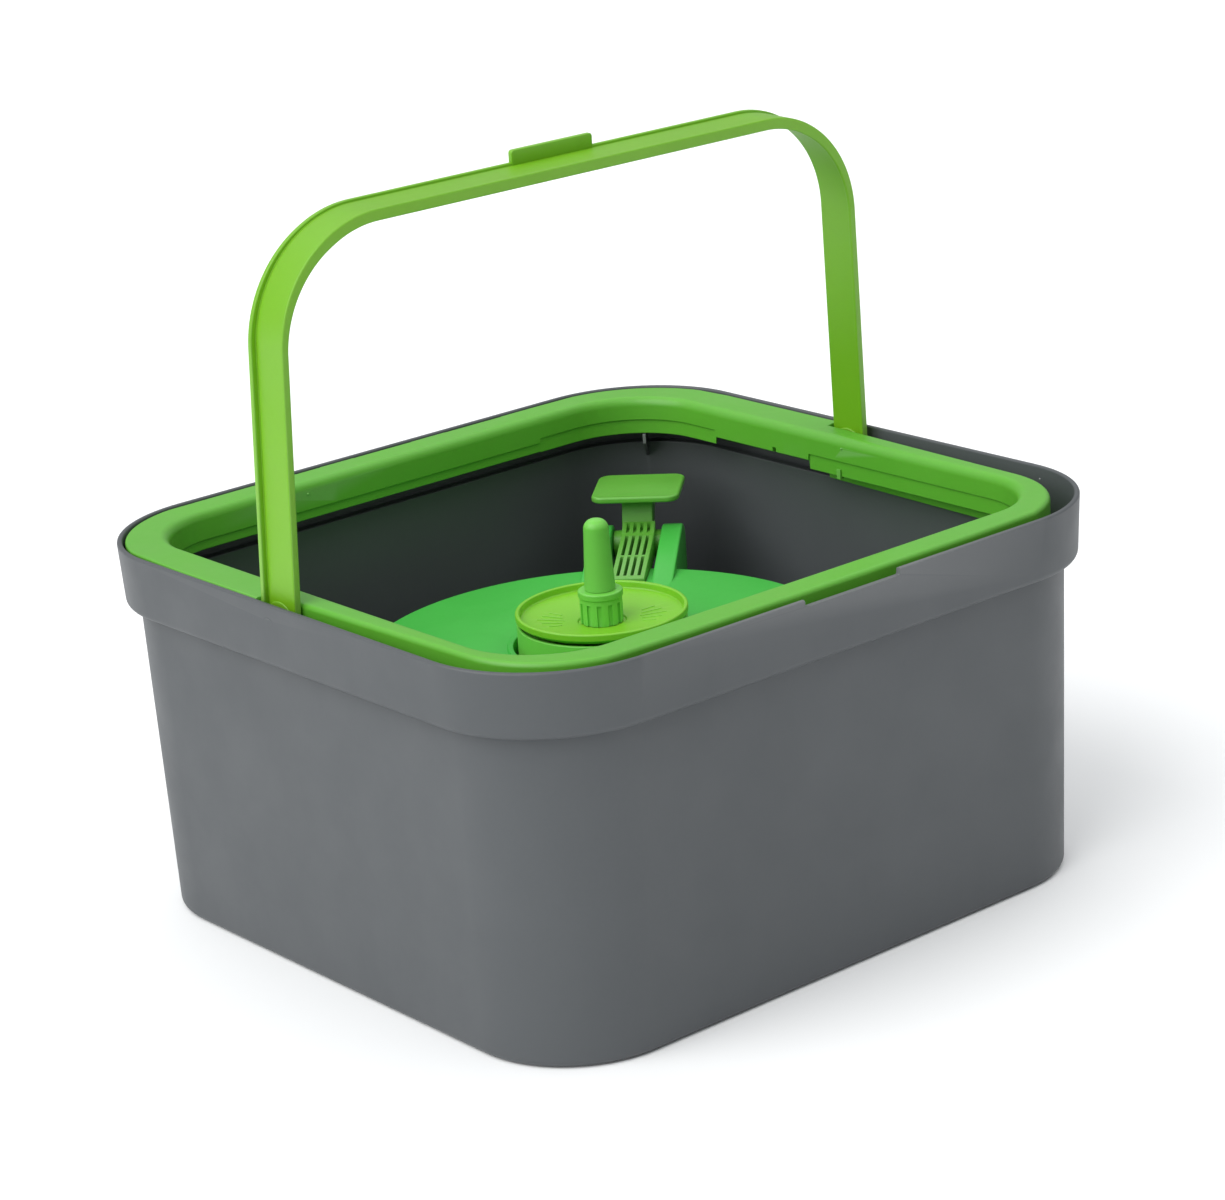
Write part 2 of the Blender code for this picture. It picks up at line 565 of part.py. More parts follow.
def make_spin_stack(plastic, inner_plastic, steel, rubber):
    """Everything that turns with the disc, and the bushes and seal that it turns in."""
    shaft, bore = SHAFT_RADIUS, BORE_RADIUS
    turned("spindle", [(0, 10.8 * MM), (shaft - 0.6 * MM, 10.8 * MM), (shaft, 11.4 * MM),
                       (shaft, 149.9 * MM), (shaft - 0.6 * MM, 150.5 * MM), (0, 150.5 * MM)], steel, 20)
    ring = DISC_RADIUS
    disc_profile = [
        (bore, 136.6 * MM), (ring - 3.5 * MM, 140.4 * MM), (ring, 142.9 * MM),
        (ring, DISC_RIM_TOP - 0.6 * MM), (ring - 0.7 * MM, DISC_RIM_TOP),
        (ring - 1.6 * MM, DISC_RIM_TOP), (ring - 2.2 * MM, DISC_RIM_TOP - 0.7 * MM),
        (ring - 2.6 * MM, 142.6 * MM), (12.5 * MM, 139.4 * MM), (12 * MM, 138.6 * MM), (bore, 138.6 * MM),
    ]
    turned("spin_disc", disc_profile, plastic, 36)
    drum, drum_wall = 43.5 * MM, 1.8 * MM
    drum_profile = [
        (bore, 119 * MM), (8 * MM, 119 * MM), (8 * MM, 131.8 * MM), (drum - drum_wall, 135.8 * MM),
        (drum - drum_wall, 113 * MM), (drum, 113 * MM), (drum, 140 * MM), (drum - 1.6 * MM, 140 * MM),
        (drum - 2.2 * MM, 138 * MM), (8 * MM, 134 * MM), (8 * MM, 136.3 * MM), (bore, 136.3 * MM),
    ]
    turned("spin_drum", drum_profile, inner_plastic, 36)
    make_collar(plastic)
    spigot, tip = SPIGOT_RADIUS, 5.0 * MM
    shoulder = 6.4 * MM
    tip_centre = (shoulder - tip, POST_TOP - tip)
    turned("mop_post", [
        (0, 151.5 * MM), (bore, 151.5 * MM), (bore, 139.2 * MM), (spigot, 139.2 * MM),
        (spigot, COLLAR_TOP + GAP), (8.0 * MM, COLLAR_TOP + GAP)]
        + arc(tip_centre, tip, 0, 90, 5) + [(0, POST_TOP)], plastic, 24)
    for name, low, high in (("upper_bush", 105.8 * MM, 116.7 * MM), ("lower_bush", 10.3 * MM, 21.7 * MM)):
        turned(name, rectangle((bore, low), (BUSH_RADIUS, high)), inner_plastic, 20)
    turned("seal_ring", rectangle((bore, 117.3 * MM), (8 * MM, 118.7 * MM)), rubber, 20)
    turned("clutch_ring", rectangle((bore, 86.3 * MM), (9 * MM, 94.6 * MM)), steel, 20)
    turned("spindle_clip", rectangle((bore, 84.8 * MM), (7 * MM, 86 * MM)), steel, 20)


def make_collar(material):
    """The collar round the post's foot, slotted from below its flange down."""
    collar, waist, bore = COLLAR_RADIUS, COLLAR_RADIUS - 0.6 * MM, SPIGOT_RADIUS + GAP
    ring = turned("post_collar", [
        (bore, COLLAR_LOW), (waist, COLLAR_LOW), (waist, COLLAR_TOP - 3.6 * MM),
        (collar, COLLAR_TOP - 3.2 * MM),
        (collar, COLLAR_TOP - 0.8 * MM), (collar - 0.8 * MM, COLLAR_TOP), (bore, COLLAR_TOP),
    ], material, 24)
    for k in range(COLLAR_SLOTS):
        outline = rectangle((waist - 1 * MM, -1.2 * MM), (waist + 2 * MM, 1.2 * MM))
        slot = prism(f"collar_slot_{k}", outline, COLLAR_LOW - 2 * MM, COLLAR_TOP - 6 * MM)
        slot.rotation_euler.z = 2 * pi * (k + 0.5) / COLLAR_SLOTS
        cut(ring, slot)
    return ring


def involute_tooth(teeth, backlash):
    """Half of a spur gear tooth's outline as (radius, angle from the tooth's middle), root to tip."""
    pitch = MODULE * teeth / 2
    base = pitch * cos(PRESSURE)
    root, tip = pitch - 1.25 * MODULE, pitch + 0.95 * MODULE
    half_at_pitch = (pi / 2 * MODULE - backlash) / 2 / pitch
    roll_at_pitch = tan(PRESSURE) - PRESSURE
    points = [(root, half_at_pitch + roll_at_pitch + 0.02)]
    for k in range(3):
        radius = base + (tip - base) * k / 2
        roll = sqrt((radius / base) ** 2 - 1)
        points.append((radius, half_at_pitch + roll_at_pitch - (roll - atan(roll))))
    return points


def gear_outline(teeth, backlash, phase):
    half = involute_tooth(teeth, backlash)
    outline = []
    for k in range(teeth):
        middle = phase + 2 * pi * k / teeth
        around = [(radius, -angle) for radius, angle in half]
        around += [(radius, angle) for radius, angle in reversed(half)]
        outline += [(r * cos(middle + a), r * sin(middle + a)) for r, a in around]
    return outline


def make_pinion(material):
    """The pinion, with the cup under it that holds the one-way clutch."""
    towards_rack = PEDAL_TURN + pi / 2
    outline = gear_outline(PINION_TEETH, BACKLASH, towards_rack)
    pinion = prism("drive_pinion", outline, 95.5 * MM, 104.5 * MM, material)
    cup = [(9.3 * MM, 84 * MM), (11.5 * MM, 84 * MM), (11.5 * MM, 96 * MM), (9.3 * MM, 96 * MM)]
    roof = turned("clutch_roof", rectangle((3 * MM, 94.9 * MM), (11 * MM, 96 * MM)), steps=24)
    join(pinion, turned("clutch_cup", cup, steps=24), roof)
    cut(pinion, prism("pinion_bore", circle(BORE_RADIUS, 20), 80 * MM, 110 * MM))
    return pinion


def rack_teeth_outline():
    """The rack's edge, with a tooth space facing the pinion at rest, as (x, y) with the bar behind it."""
    pitch = pi * MODULE
    tip, root = PITCH_RADIUS - 0.9 * MODULE, PITCH_RADIUS + 1.3 * MODULE
    half_pitch_width = (pitch / 2 - BACKLASH) / 2
    half_tip = half_pitch_width - 0.9 * MODULE * tan(PRESSURE)
    half_root = half_pitch_width + 1.3 * MODULE * tan(PRESSURE)
    points = []
    for k in range(RACK_TEETH):
        middle = (k - 4.5) * pitch
        points += [(middle - half_root, root), (middle - half_tip, tip)]
        points += [(middle + half_tip, tip), (middle + half_root, root)]
    return points


def make_rack(material):
    """The rack that the pedal's finger pushes, along the pedal's direction."""
    edge = rack_teeth_outline()
    far = 15 * MM
    near = PITCH_RADIUS + 1.3 * MODULE
    start, block, end = edge[0][0] - 2 * MM, 148 * MM, 166.5 * MM
    outline = [(start, far), (start, near)] + edge
    outline += [(block, near), (block, -4.5 * MM), (end, -4.5 * MM), (end, 12.8 * MM), (118 * MM, 12.8 * MM),
                (114 * MM, far)]
    rack = turn_to_pedal(prism("drive_rack", outline, RACK_LOW, RACK_TOP, material))
    half = 2.9 * MM
    notch = rectangle((HUB_OUT - half, -8 * MM), (HUB_OUT + half, 4.4 * MM))
    cut(rack, turn_to_pedal(prism("finger_notch", notch, RACK_LOW + 0.8 * MM, RACK_TOP + 3 * MM)))
    return rack


def make_pedal_lever(material, pedal):
    """The hub, the ribbed arm that lies in the cover's slot, the stem up to the pad, and the finger below."""
    hub = prism("pedal_lever", circle(HUB_RADIUS), -HUB_HALF, HUB_HALF, material, pedal, axis="Y")
    end = out_from_hub(98 * MM)
    arm = [(0, 13 * MM), (-9 * MM, 8 * MM), (end + 2 * MM, 0.2 * MM), (end, -1 * MM), (end, -6 * MM),
           (-2 * MM, -5 * MM)]
    stem_top = PAD_TOP - PAD_THICK - GAP
    stem = [(-3 * MM, 3 * MM), (5 * MM, 3 * MM), (18 * MM, 20.5 * MM), (20 * MM, stem_top),
            (6 * MM, stem_top), (2 * MM, 17 * MM)]
    finger = [(-1.7 * MM, -5 * MM), (-1.7 * MM, -FINGER_LENGTH), (1.7 * MM, -FINGER_LENGTH),
              (1.7 * MM, -5 * MM)]
    roller = circle(2.5 * MM, 20, (0, -FINGER_LENGTH))
    parts = (("arm", arm, ARM_MIDDLE, ARM_HALF), ("stem", stem, 0, STEM_HALF),
             ("finger", finger, 0, 3.2 * MM), ("finger_roller", roller, 0, 3.4 * MM))
    for name, outline, middle, half in parts:
        join(hub, prism(name, outline, middle - half, middle + half, parent=pedal, axis="Y"))
    bm = bmesh.new()
    through = -12 * MM
    runs = ((-59 * MM, -36 * MM, through), (-34.4 * MM, -10.5 * MM, through), (-8.8 * MM, -1.2 * MM, 8.5 * MM))
    for k in range(4):
        middle = ARM_MIDDLE + (k - 1.5) * RIB_PITCH
        for start, stop, low in runs:
            corners = rectangle((start, middle - RIB_GAP / 2), (stop, middle + RIB_GAP / 2))
            loft(bm, [[(x, y, z) for x, y in corners] for z in (low, 16 * MM)])
    slots = add_object("rib_gaps", bm, parent=pedal)
    bore = prism("hub_bore", circle(PIVOT_PIN_RADIUS + GAP, 20), -15 * MM, 15 * MM, parent=pedal, axis="Y")
    recess = prism("spring_room", circle(SPRING_ROOM, 24), 9.5 * MM, 15 * MM, parent=pedal, axis="Y")
    cut(hub, slots, bore, recess)
    return hub


def make_pedal_pad(material, pedal):
    """The pad that is pressed, with rounded corners and a shallow dished top."""
    bm = bmesh.new()
    low = PAD_TOP - PAD_THICK
    rings = []
    steps = ((3.5, 0), (0.7, 0.3), (0, 1.1), (0, 2.4), (0.5, 3.2), (1.4, 3.4), (3.2, 3.0))
    for inset, rise in steps:
        half_long, half_wide = PAD_LONG / 2 - inset * MM, PAD_WIDE / 2 - inset * MM
        outline = rounded_rectangle(half_long, half_wide, 7 * MM - min(inset, 3) * MM, 4)
        rings.append([(x + PAD_OUT, y, low + rise * MM) for x, y in outline])
    loft(bm, rings)
    return add_object("pedal_pad", bm, material, pedal)


def make_pedal_hardware(steel, pedal):
    """The hinge pin, pushed in from the left cheek, and the torsion spring that returns the pedal."""
    pin = circle(PIVOT_PIN_RADIUS, 20)
    prism("pedal_pin", pin, GAP - PIN_RIGHT, CHEEK_OUTER - 0.5 * MM, steel, pedal, axis="Y")
    make_spring(steel, pedal)


def make_spring(steel, pedal):
    wire, coil, turns, per_turn = 0.5 * MM, 4.2 * MM, 2.0, 12
    start, pitch = 10.3 * MM, 1.2 * MM
    curve = bpy.data.curves.new("pedal_spring", "CURVE")
    curve.dimensions = "3D"
    curve.bevel_depth = wire
    curve.bevel_resolution = 1
    curve.use_fill_caps = True
    points = []
    count = int(turns * per_turn)
    for k in range(count + 1):
        angle = 2 * pi * k / per_turn
        points.append((coil * cos(angle), start + pitch * k / per_turn, coil * sin(angle)))
    spline = curve.splines.new("POLY")
    spline.points.add(len(points) - 1)
    for target, point in zip(spline.points, points):
        target.co = (*point, 1)
    spring = bpy.data.objects.new("pedal_spring", curve)
    curve.materials.append(steel)
    bpy.context.scene.collection.objects.link(spring)
    spring.parent = pedal


def pan_head_screw(name, head_radius, head_height, shank_radius, length, steel):
    """A screw along +X: the head's outer face at 0 and the shank after it."""
    profile = [
        (0, 0), (head_radius * 0.75, 0), (head_radius, -head_height * 0.5), (head_radius, -head_height),
        (shank_radius, -head_height), (0.8 * shank_radius, -length), (0, -length),
    ]
    return turned(name, profile[::-1], steel, steps=12)


def make_screws(steel):
    """Four screws up through the bucket's floor, and four in through the cover's skirt."""
    for k, (x, y) in enumerate(screw_places()):
        screw = pan_head_screw(f"base_screw_{k + 1}", 4 * MM, 2 * MM, 1.9 * MM, 14 * MM, steel)
        screw.location = (x, y, 0.6 * MM)
        screw.rotation_euler.x = pi
    for k, angle in enumerate(COVER_SCREW_ANGLES):
        screw = pan_head_screw(f"cover_screw_{k + 1}", 3.2 * MM, 1.8 * MM, 1.4 * MM, 12 * MM, steel)
        head = PLATFORM_RADIUS + 1.8 * MM + GAP
        turn = Matrix.Rotation(angle, 4, "Z") @ Matrix.Rotation(pi / 2, 4, "Y")
        screw.matrix_world = Matrix.Translation((head * cos(angle), head * sin(angle), COVER_SCREW_Z)) @ turn


def main():
    clear_scene()
    grey = make_material("grey_plastic", GREY, 0.5)
    dark = make_material("casing_plastic", GREY, 0.55)
    green = make_material("green_plastic", GREEN, 0.35)
    inner_green = make_material("inner_green_plastic", INNER_GREEN, 0.4)
    steel = make_material("steel", STEEL, 0.3, 1.0)
    rubber = make_material("seal_rubber", BLACK, 0.7)
    make_bucket(grey)
    make_rim_frame(green)
    make_handle(green)
    pedal = pedal_place("pedal_axis")
    make_top_cover(inner_green, pedal)
    make_base_casing(dark)
    make_gear_deck(dark)
    make_spin_stack(green, inner_green, steel, rubber)
    make_pinion(dark)
    make_rack(dark)
    make_pedal_lever(green, pedal)
    make_pedal_pad(green, pedal)
    make_pedal_hardware(steel, pedal)
    make_screws(steel)


main()
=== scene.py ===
"""Looks for the spin mop bucket: fine meshes and moulded-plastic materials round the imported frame."""

import json
from math import atan, atan2, cos, hypot, pi, radians, sin

import bmesh
import bpy
from mathutils import Matrix, Vector


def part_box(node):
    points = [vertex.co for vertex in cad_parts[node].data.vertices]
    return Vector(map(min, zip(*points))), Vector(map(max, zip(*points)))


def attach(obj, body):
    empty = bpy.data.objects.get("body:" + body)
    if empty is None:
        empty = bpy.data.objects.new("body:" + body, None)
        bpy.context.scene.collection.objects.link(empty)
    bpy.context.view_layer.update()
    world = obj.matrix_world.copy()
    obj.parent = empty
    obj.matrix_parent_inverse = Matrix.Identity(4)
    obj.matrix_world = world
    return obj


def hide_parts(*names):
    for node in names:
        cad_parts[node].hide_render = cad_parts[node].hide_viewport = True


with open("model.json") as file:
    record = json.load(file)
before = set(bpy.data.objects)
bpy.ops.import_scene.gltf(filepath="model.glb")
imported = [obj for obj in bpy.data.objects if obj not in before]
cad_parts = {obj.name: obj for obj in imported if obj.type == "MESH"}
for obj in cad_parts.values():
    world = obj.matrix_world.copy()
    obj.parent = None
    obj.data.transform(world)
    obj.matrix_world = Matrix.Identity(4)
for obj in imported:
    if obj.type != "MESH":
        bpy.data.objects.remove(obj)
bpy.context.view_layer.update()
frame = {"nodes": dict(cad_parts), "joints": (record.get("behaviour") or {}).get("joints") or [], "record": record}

MM = 0.001
GAP = 0.3 * MM                      # left between neighbouring bodies

# Driving sizes, from the frame's own boxes
HALF_X, HALF_Y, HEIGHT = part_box("bucket")[1]
FRAME_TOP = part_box("rim_frame")[1][2]
PIN_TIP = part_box("carry_handle")[1][0]
POST_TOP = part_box("mop_post")[1][2]
DISC_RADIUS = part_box("spin_disc")[1][0]
DISC_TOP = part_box("spin_disc")[1][2]
DRUM_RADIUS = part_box("spin_drum")[1][0]
COLLAR_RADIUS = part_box("post_collar")[1][0]
COLLAR_LOW, COLLAR_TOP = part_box("post_collar")[0][2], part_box("post_collar")[1][2]
JOINTS = {joint["name"]: joint for joint in frame["joints"]}
PIVOT_Y, PIVOT_Z = JOINTS["handle_fold"]["pos_m"][1:]
HUB = Vector(JOINTS["pedal_press"]["pos_m"])
HUB_OUT = hypot(HUB.x, HUB.y)

# Bucket
RIM_RADIUS, BASE_RADIUS = 68.3 * MM, 57.0 * MM
BAND_BOTTOM = 164.4 * MM
BAND_INSET, BODY_TOP_INSET, BODY_BASE_INSET = 1.7 * MM, 8.6 * MM, 12.4 * MM
BAND_ROUND, BASE_ROUND = 6.0 * MM, 4.6 * MM
WALL = 2.8 * MM
FLOOR_LOW, FLOOR_TOP = 3.0 * MM, 6.0 * MM
NOTCH_HALF, NOTCH_FLOOR = 30.5 * MM, 193.6 * MM
BOSS_RADIUS, BOSS_FACE = 8.0 * MM, 188.8 * MM
SCREW_CIRCLE = 85.0 * MM
RIB_LOW, RIB_TOP, RIB_LENGTH, RIB_HALF = 169.4 * MM, 175.3 * MM, 13.0 * MM, 0.8 * MM
GATE_RADIUS = 0.55 * MM
RIM_GATES = ((-HALF_X + 1.6 * MM, 55.4 * MM), (177.0 * MM, -138.0 * MM))

# Carry handle
HANDLE_LEAN = radians(1.5)
HANDLE_X, HANDLE_SLOPE = 187.6 * MM, 0.038
HANDLE_REACH, HANDLE_CORNER = 191.5 * MM, 60.0 * MM
STRIP_HALF, STRIP_WALL, STRIP_RETURN = 12.1 * MM, 2.4 * MM, 4.0 * MM
TOP_RETURN, TOP_LIP = 6.0 * MM, 1.1 * MM
LIP, LIP_WIDTH = 2.5 * MM, 2.6 * MM
PIN_RADIUS = 5.0 * MM
TAB_HALF, TAB_HEIGHT = 25.5 * MM, 7.2 * MM

# Rim frame
FRAME_HALF_X, FRAME_BACK_Y, FRAME_FRONT_Y, FRAME_RADIUS = 167.5 * MM, 164.5 * MM, -157.2 * MM, 45.0 * MM
FRAME_WALL, FRAME_ROUND = 2.4 * MM, 5.0 * MM
CHANNEL_FLOOR, FRAME_FOOT = 170.0 * MM, 167.5 * MM
BACK_SKIRT_LOW = 173.0 * MM         # behind the pivots, where the CAD's skirt goes on to FRAME_FOOT
FRAME_TAPER = 1.0 * MM
FRAME_EDGE_X, FRAME_EDGE_Y = 190.9 * MM, 183.0 * MM
FRAME_FOOT_INSET = 8.0 * MM
FRAME_STEP_Y = 22.8 * MM
CHANNEL_GAP = 0.8 * MM
STEP_DEPTH = 1.1 * MM
SKIRT_FRONT, SKIRT_CORNER = (183.6 * MM, 174.9 * MM), (184.0 * MM, 175.8 * MM)     # its step and bottom
SKIRT_RIGHT, SKIRT_BACK = (180.2 * MM, 179.6 * MM), (181.4 * MM, 176.1 * MM)
SKIRT_BREAK_X, SKIRT_BREAK_LOW_Y, SKIRT_BREAK_HIGH_Y = 97.0 * MM, 23.0 * MM, 98.0 * MM
EDGE_SLOTS = ((-55.3 * MM, -38.9 * MM), (-17.1 * MM, 22.0 * MM), (44.7 * MM, 84.3 * MM))
FRAME_GATE_RADIUS = 0.7 * MM
FRAME_GATES = ((FRAME_HALF_X, -3.2 * MM, 190.9 * MM), (-60.2 * MM, FRAME_BACK_Y, 190.0 * MM))

# Spinning unit
PLATFORM_RADIUS, PLATFORM_TOP, PLATFORM_WALL = 125.0 * MM, 126.8 * MM, 2.5 * MM
SKIRT_LOW = 100.0 * MM
WELL_RADIUS, WELL_FLOOR = 45.6 * MM, 109.0 * MM
CASING_RADIUS, CASING_TOP, CASING_WALL = 122.2 * MM, 121.5 * MM, 2.7 * MM
BORE_RADIUS = 4.3 * MM
BUSH_BORE = 6.3 * MM
PIN_BORE = 2.3 * MM
SPIGOT = 5.9 * MM
PEDAL_TURN = radians(43)
HUB_RADIUS, HUB_HALF = 7.5 * MM, 13.2 * MM
ARM_HALF, ARM_MIDDLE = 9.0 * MM, -1.0 * MM
RIB_PITCH, RIB_GAP = 3.8 * MM, 1.8 * MM
FINGER_LENGTH = 29.0 * MM
CHEEK_INNER, CHEEK_OUTER, CHEEK_ROUND = 13.5 * MM, 25.0 * MM, 10.5 * MM
PIN_RIGHT = 22.5 * MM
PAD_OUT, PAD_TOP = 14.0 * MM, 29.0 * MM
PAD_LONG, PAD_WIDE, PAD_THICK = 45.0 * MM, 48.4 * MM, 3.4 * MM
STEM_HALF = 8.5 * MM
BOX_TOP, EXTENSION_OUT = 104.9 * MM, 170.0 * MM
DISH_LOW, DISH_EDGE = 139.4 * MM, 142.6 * MM        # the dish's face, at its foot and at its edge
DISH_FOOT, DISH_LIP = 12.6 * MM, 2.7 * MM
COLLAR_SLOTS = 12
COVER_SCREW_ANGLES = [PEDAL_TURN + radians(45 + 90 * k) for k in range(4)]
COVER_SCREW_Z = 109.0 * MM

# Camera and light
CAMERA_PLACE = Vector((-2.7471, -3.4224, 1.8288)) * 2 * HALF_X
CAMERA_AZIMUTH, CAMERA_ELEVATION, CAMERA_ROLL = radians(-38.95), radians(18.23), radians(-3.944)
CAMERA_LENS, CAMERA_SENSOR = 104.68, 36
FLOOR_RADIUS, FLOOR_HEIGHT = 14, -0.4 * MM
WORLD_COLOUR, WORLD_STRENGTH = (0.97, 0.985, 1.0, 1), 0.46


# Geometry helpers

def loft(bm, rings, closed=False):
    """Faces between neighbouring rings of points. The ends are capped, or joined when closed."""
    verts = [[bm.verts.new(point) for point in ring] for ring in rings]
    pairs = list(zip(verts, verts[1:]))
    if closed:
        pairs.append((verts[-1], verts[0]))
    for low, high in pairs:
        for i in range(len(low)):
            j = (i + 1) % len(low)
            bm.faces.new((low[i], low[j], high[j], high[i]))
    if not closed:
        bm.faces.new(verts[0])
        bm.faces.new(verts[-1])


def piece(name, bm, material=None):
    """An object from bm, its normals made consistent."""
    bmesh.ops.recalc_face_normals(bm, faces=bm.faces)
    mesh = bpy.data.meshes.new(name)
    bm.to_mesh(mesh)
    bm.free()
    obj = bpy.data.objects.new(name, mesh)
    bpy.context.scene.collection.objects.link(obj)
    if material:
        mesh.materials.append(material)
    return obj


def finish_shading(obj, angle=40):
    """Smooth shading that stays flat on flat faces beside their rounded edges."""
    obj.data.shade_smooth()
    obj.data.set_sharp_from_angle(angle=radians(angle))
    weighted = obj.modifiers.new("weighted normals", "WEIGHTED_NORMAL")
    weighted.keep_sharp = True
    weighted.weight = 100


def carve(target, others, operation):
    """Joins or cuts target by the other objects, which are used up."""
    for other in others:
        modifier = target.modifiers.new(other.name, "BOOLEAN")
        modifier.operation = operation
        modifier.solver = "EXACT"
        modifier.object = other
    bpy.context.view_layer.update()
    shape = target.evaluated_get(bpy.context.evaluated_depsgraph_get())
    mesh = bpy.data.meshes.new_from_object(shape)
    target.modifiers.clear()
    old = target.data
    target.data = mesh
    bpy.data.meshes.remove(old)
    for other in others:
        bpy.data.objects.remove(other, do_unlink=True)


def cut(target, *others):
    carve(target, others, "DIFFERENCE")


def join(target, *others):
    carve(target, others, "UNION")


def soften(obj, width, steps=3, angle=30):
    """Rounds an object's edges."""
    bevel = obj.modifiers.new("rounded edges", "BEVEL")
    bevel.width = width
    bevel.segments = steps
    bevel.limit_method = "ANGLE"
    bevel.angle_limit = radians(angle)
    bevel.use_clamp_overlap = True
    return obj


def arc(centre, radius, start, end, steps):
    """Points from one angle to the other, in degrees, both ends included."""
    angles = (radians(start + (end - start) * k / steps) for k in range(steps + 1))
    return [(centre[0] + radius * cos(a), centre[1] + radius * sin(a)) for a in angles]


def circle(radius, steps=64, centre=(0, 0)):
    angles = (2 * pi * k / steps for k in range(steps))
    return [(centre[0] + radius * cos(a), centre[1] + radius * sin(a)) for a in angles]


def rectangle(low, high):
    return [low, (high[0], low[1]), high, (low[0], high[1])]


def rounded_rectangle(half_x, half_y, radius, steps=24, along=1):
    """The outline, with each straight side split into some lengths."""
    points = []
    corners = ((1, 1, 0), (-1, 1, 90), (-1, -1, 180), (1, -1, 270))
    for side_x, side_y, start in corners:
        centre = (side_x * (half_x - radius), side_y * (half_y - radius))
        turn = arc(centre, radius, start, start + 90, steps)
        if points and along > 1:
            points += between(points[-1], turn[0], along)
        points += turn
    if along > 1:
        points += between(points[-1], points[0], along)
    return points


def between(a, b, count):
    """The points that split the stretch from a to b into equal lengths."""
    return [(a[0] + (b[0] - a[0]) * k / count, a[1] + (b[1] - a[1]) * k / count) for k in range(1, count)]


def fillet(points, steps=4, closed=True):
    """An outline with its corners rounded: each point is (x, y) or (x, y, radius)."""
    outline = []
    count = len(points)
    for k, point in enumerate(points):
        here = Vector(point[:2])
        if len(point) == 2 or (not closed and k in (0, count - 1)):
            outline.append(tuple(here))
            continue
        before = Vector(points[k - 1][:2]) - here
        after = Vector(points[(k + 1) % count][:2]) - here
        longest = 0.48 * min(before.length, after.length)
        half = before.angle(after) / 2
        straight = half > radians(89)
        reach = min(0.2 * MM if straight else point[2] * cos(half) / sin(half), longest)
        start, end = here + before.normalized() * reach, here + after.normalized() * reach
        if straight:
            outline += [tuple(start.lerp(end, step / steps)) for step in range(steps + 1)]
            continue
        towards = (before.normalized() + after.normalized()).normalized()
        centre = here + towards * reach / cos(half)
        first, last = start - centre, end - centre
        turn = atan2(first.x * last.y - first.y * last.x, first.dot(last))
        for step in range(steps + 1):
            angle = turn * step / steps
            outline.append((centre.x + first.x * cos(angle) - first.y * sin(angle),
                            centre.y + first.x * sin(angle) + first.y * cos(angle)))
    return outline


def turned(name, profile, material=None, steps=128):
    """A closed profile of (radius, height) points turned about Z. Points of radius 0 become poles."""
    bm = bmesh.new()
    rings = []
    for radius, height in profile:
        if radius < 1e-7:
            rings.append([bm.verts.new((0, 0, height))])
            continue
        angles = (2 * pi * k / steps for k in range(steps))
        rings.append([bm.verts.new((radius * cos(a), radius * sin(a), height)) for a in angles])
    for a, b in zip(rings, rings[1:] + rings[:1]):
        for i in range(steps):
            j = (i + 1) % steps
            if len(a) > 1 and len(b) > 1:
                bm.faces.new((a[i], a[j], b[j], b[i]))
            elif len(a) > 1:
                bm.faces.new((a[i], a[j], b[0]))
            elif len(b) > 1:
                bm.faces.new((a[0], b[j], b[i]))
    return piece(name, bm, material)


def prism(name, outline, low, high, axis="Z", material=None):
    """An outline extruded along an axis. It holds the other two coordinates, in the order x, y, z."""
    bm = bmesh.new()
    if axis == "Z":
        ends = [[(x, y, height) for x, y in outline] for height in (low, high)]
    elif axis == "Y":
        ends = [[(x, depth, z) for x, z in outline] for depth in (low, high)]
    else:
        ends = [[(depth, y, z) for y, z in outline] for depth in (low, high)]
    loft(bm, ends)
    return piece(name, bm, material)


def at_pedal(obj):
    """Moves a shape made about the pedal's hub to its place: X points outwards and Y along the hinge pin."""
    obj.data.transform(Matrix.Translation(HUB) @ Matrix.Rotation(PEDAL_TURN, 4, "Z"))
    return obj


def turn_to_pedal(obj):
    obj.data.transform(Matrix.Rotation(PEDAL_TURN, 4, "Z"))
    return obj


def tilt_handle(obj):
    """Moves a shape made upright about the handle's pivot to its resting lean."""
    obj.data.transform(Matrix.Translation((0, PIVOT_Y, PIVOT_Z)) @ Matrix.Rotation(HANDLE_LEAN, 4, "X"))
    return obj


def mount(obj, body, slot, *nodes):
    """Rides a finished piece on its body and hides the nodes it stands for. Its slot argument, the record's
    material slot, is not used.
    """
    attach(obj, body)
    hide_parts(*nodes)


# Materials

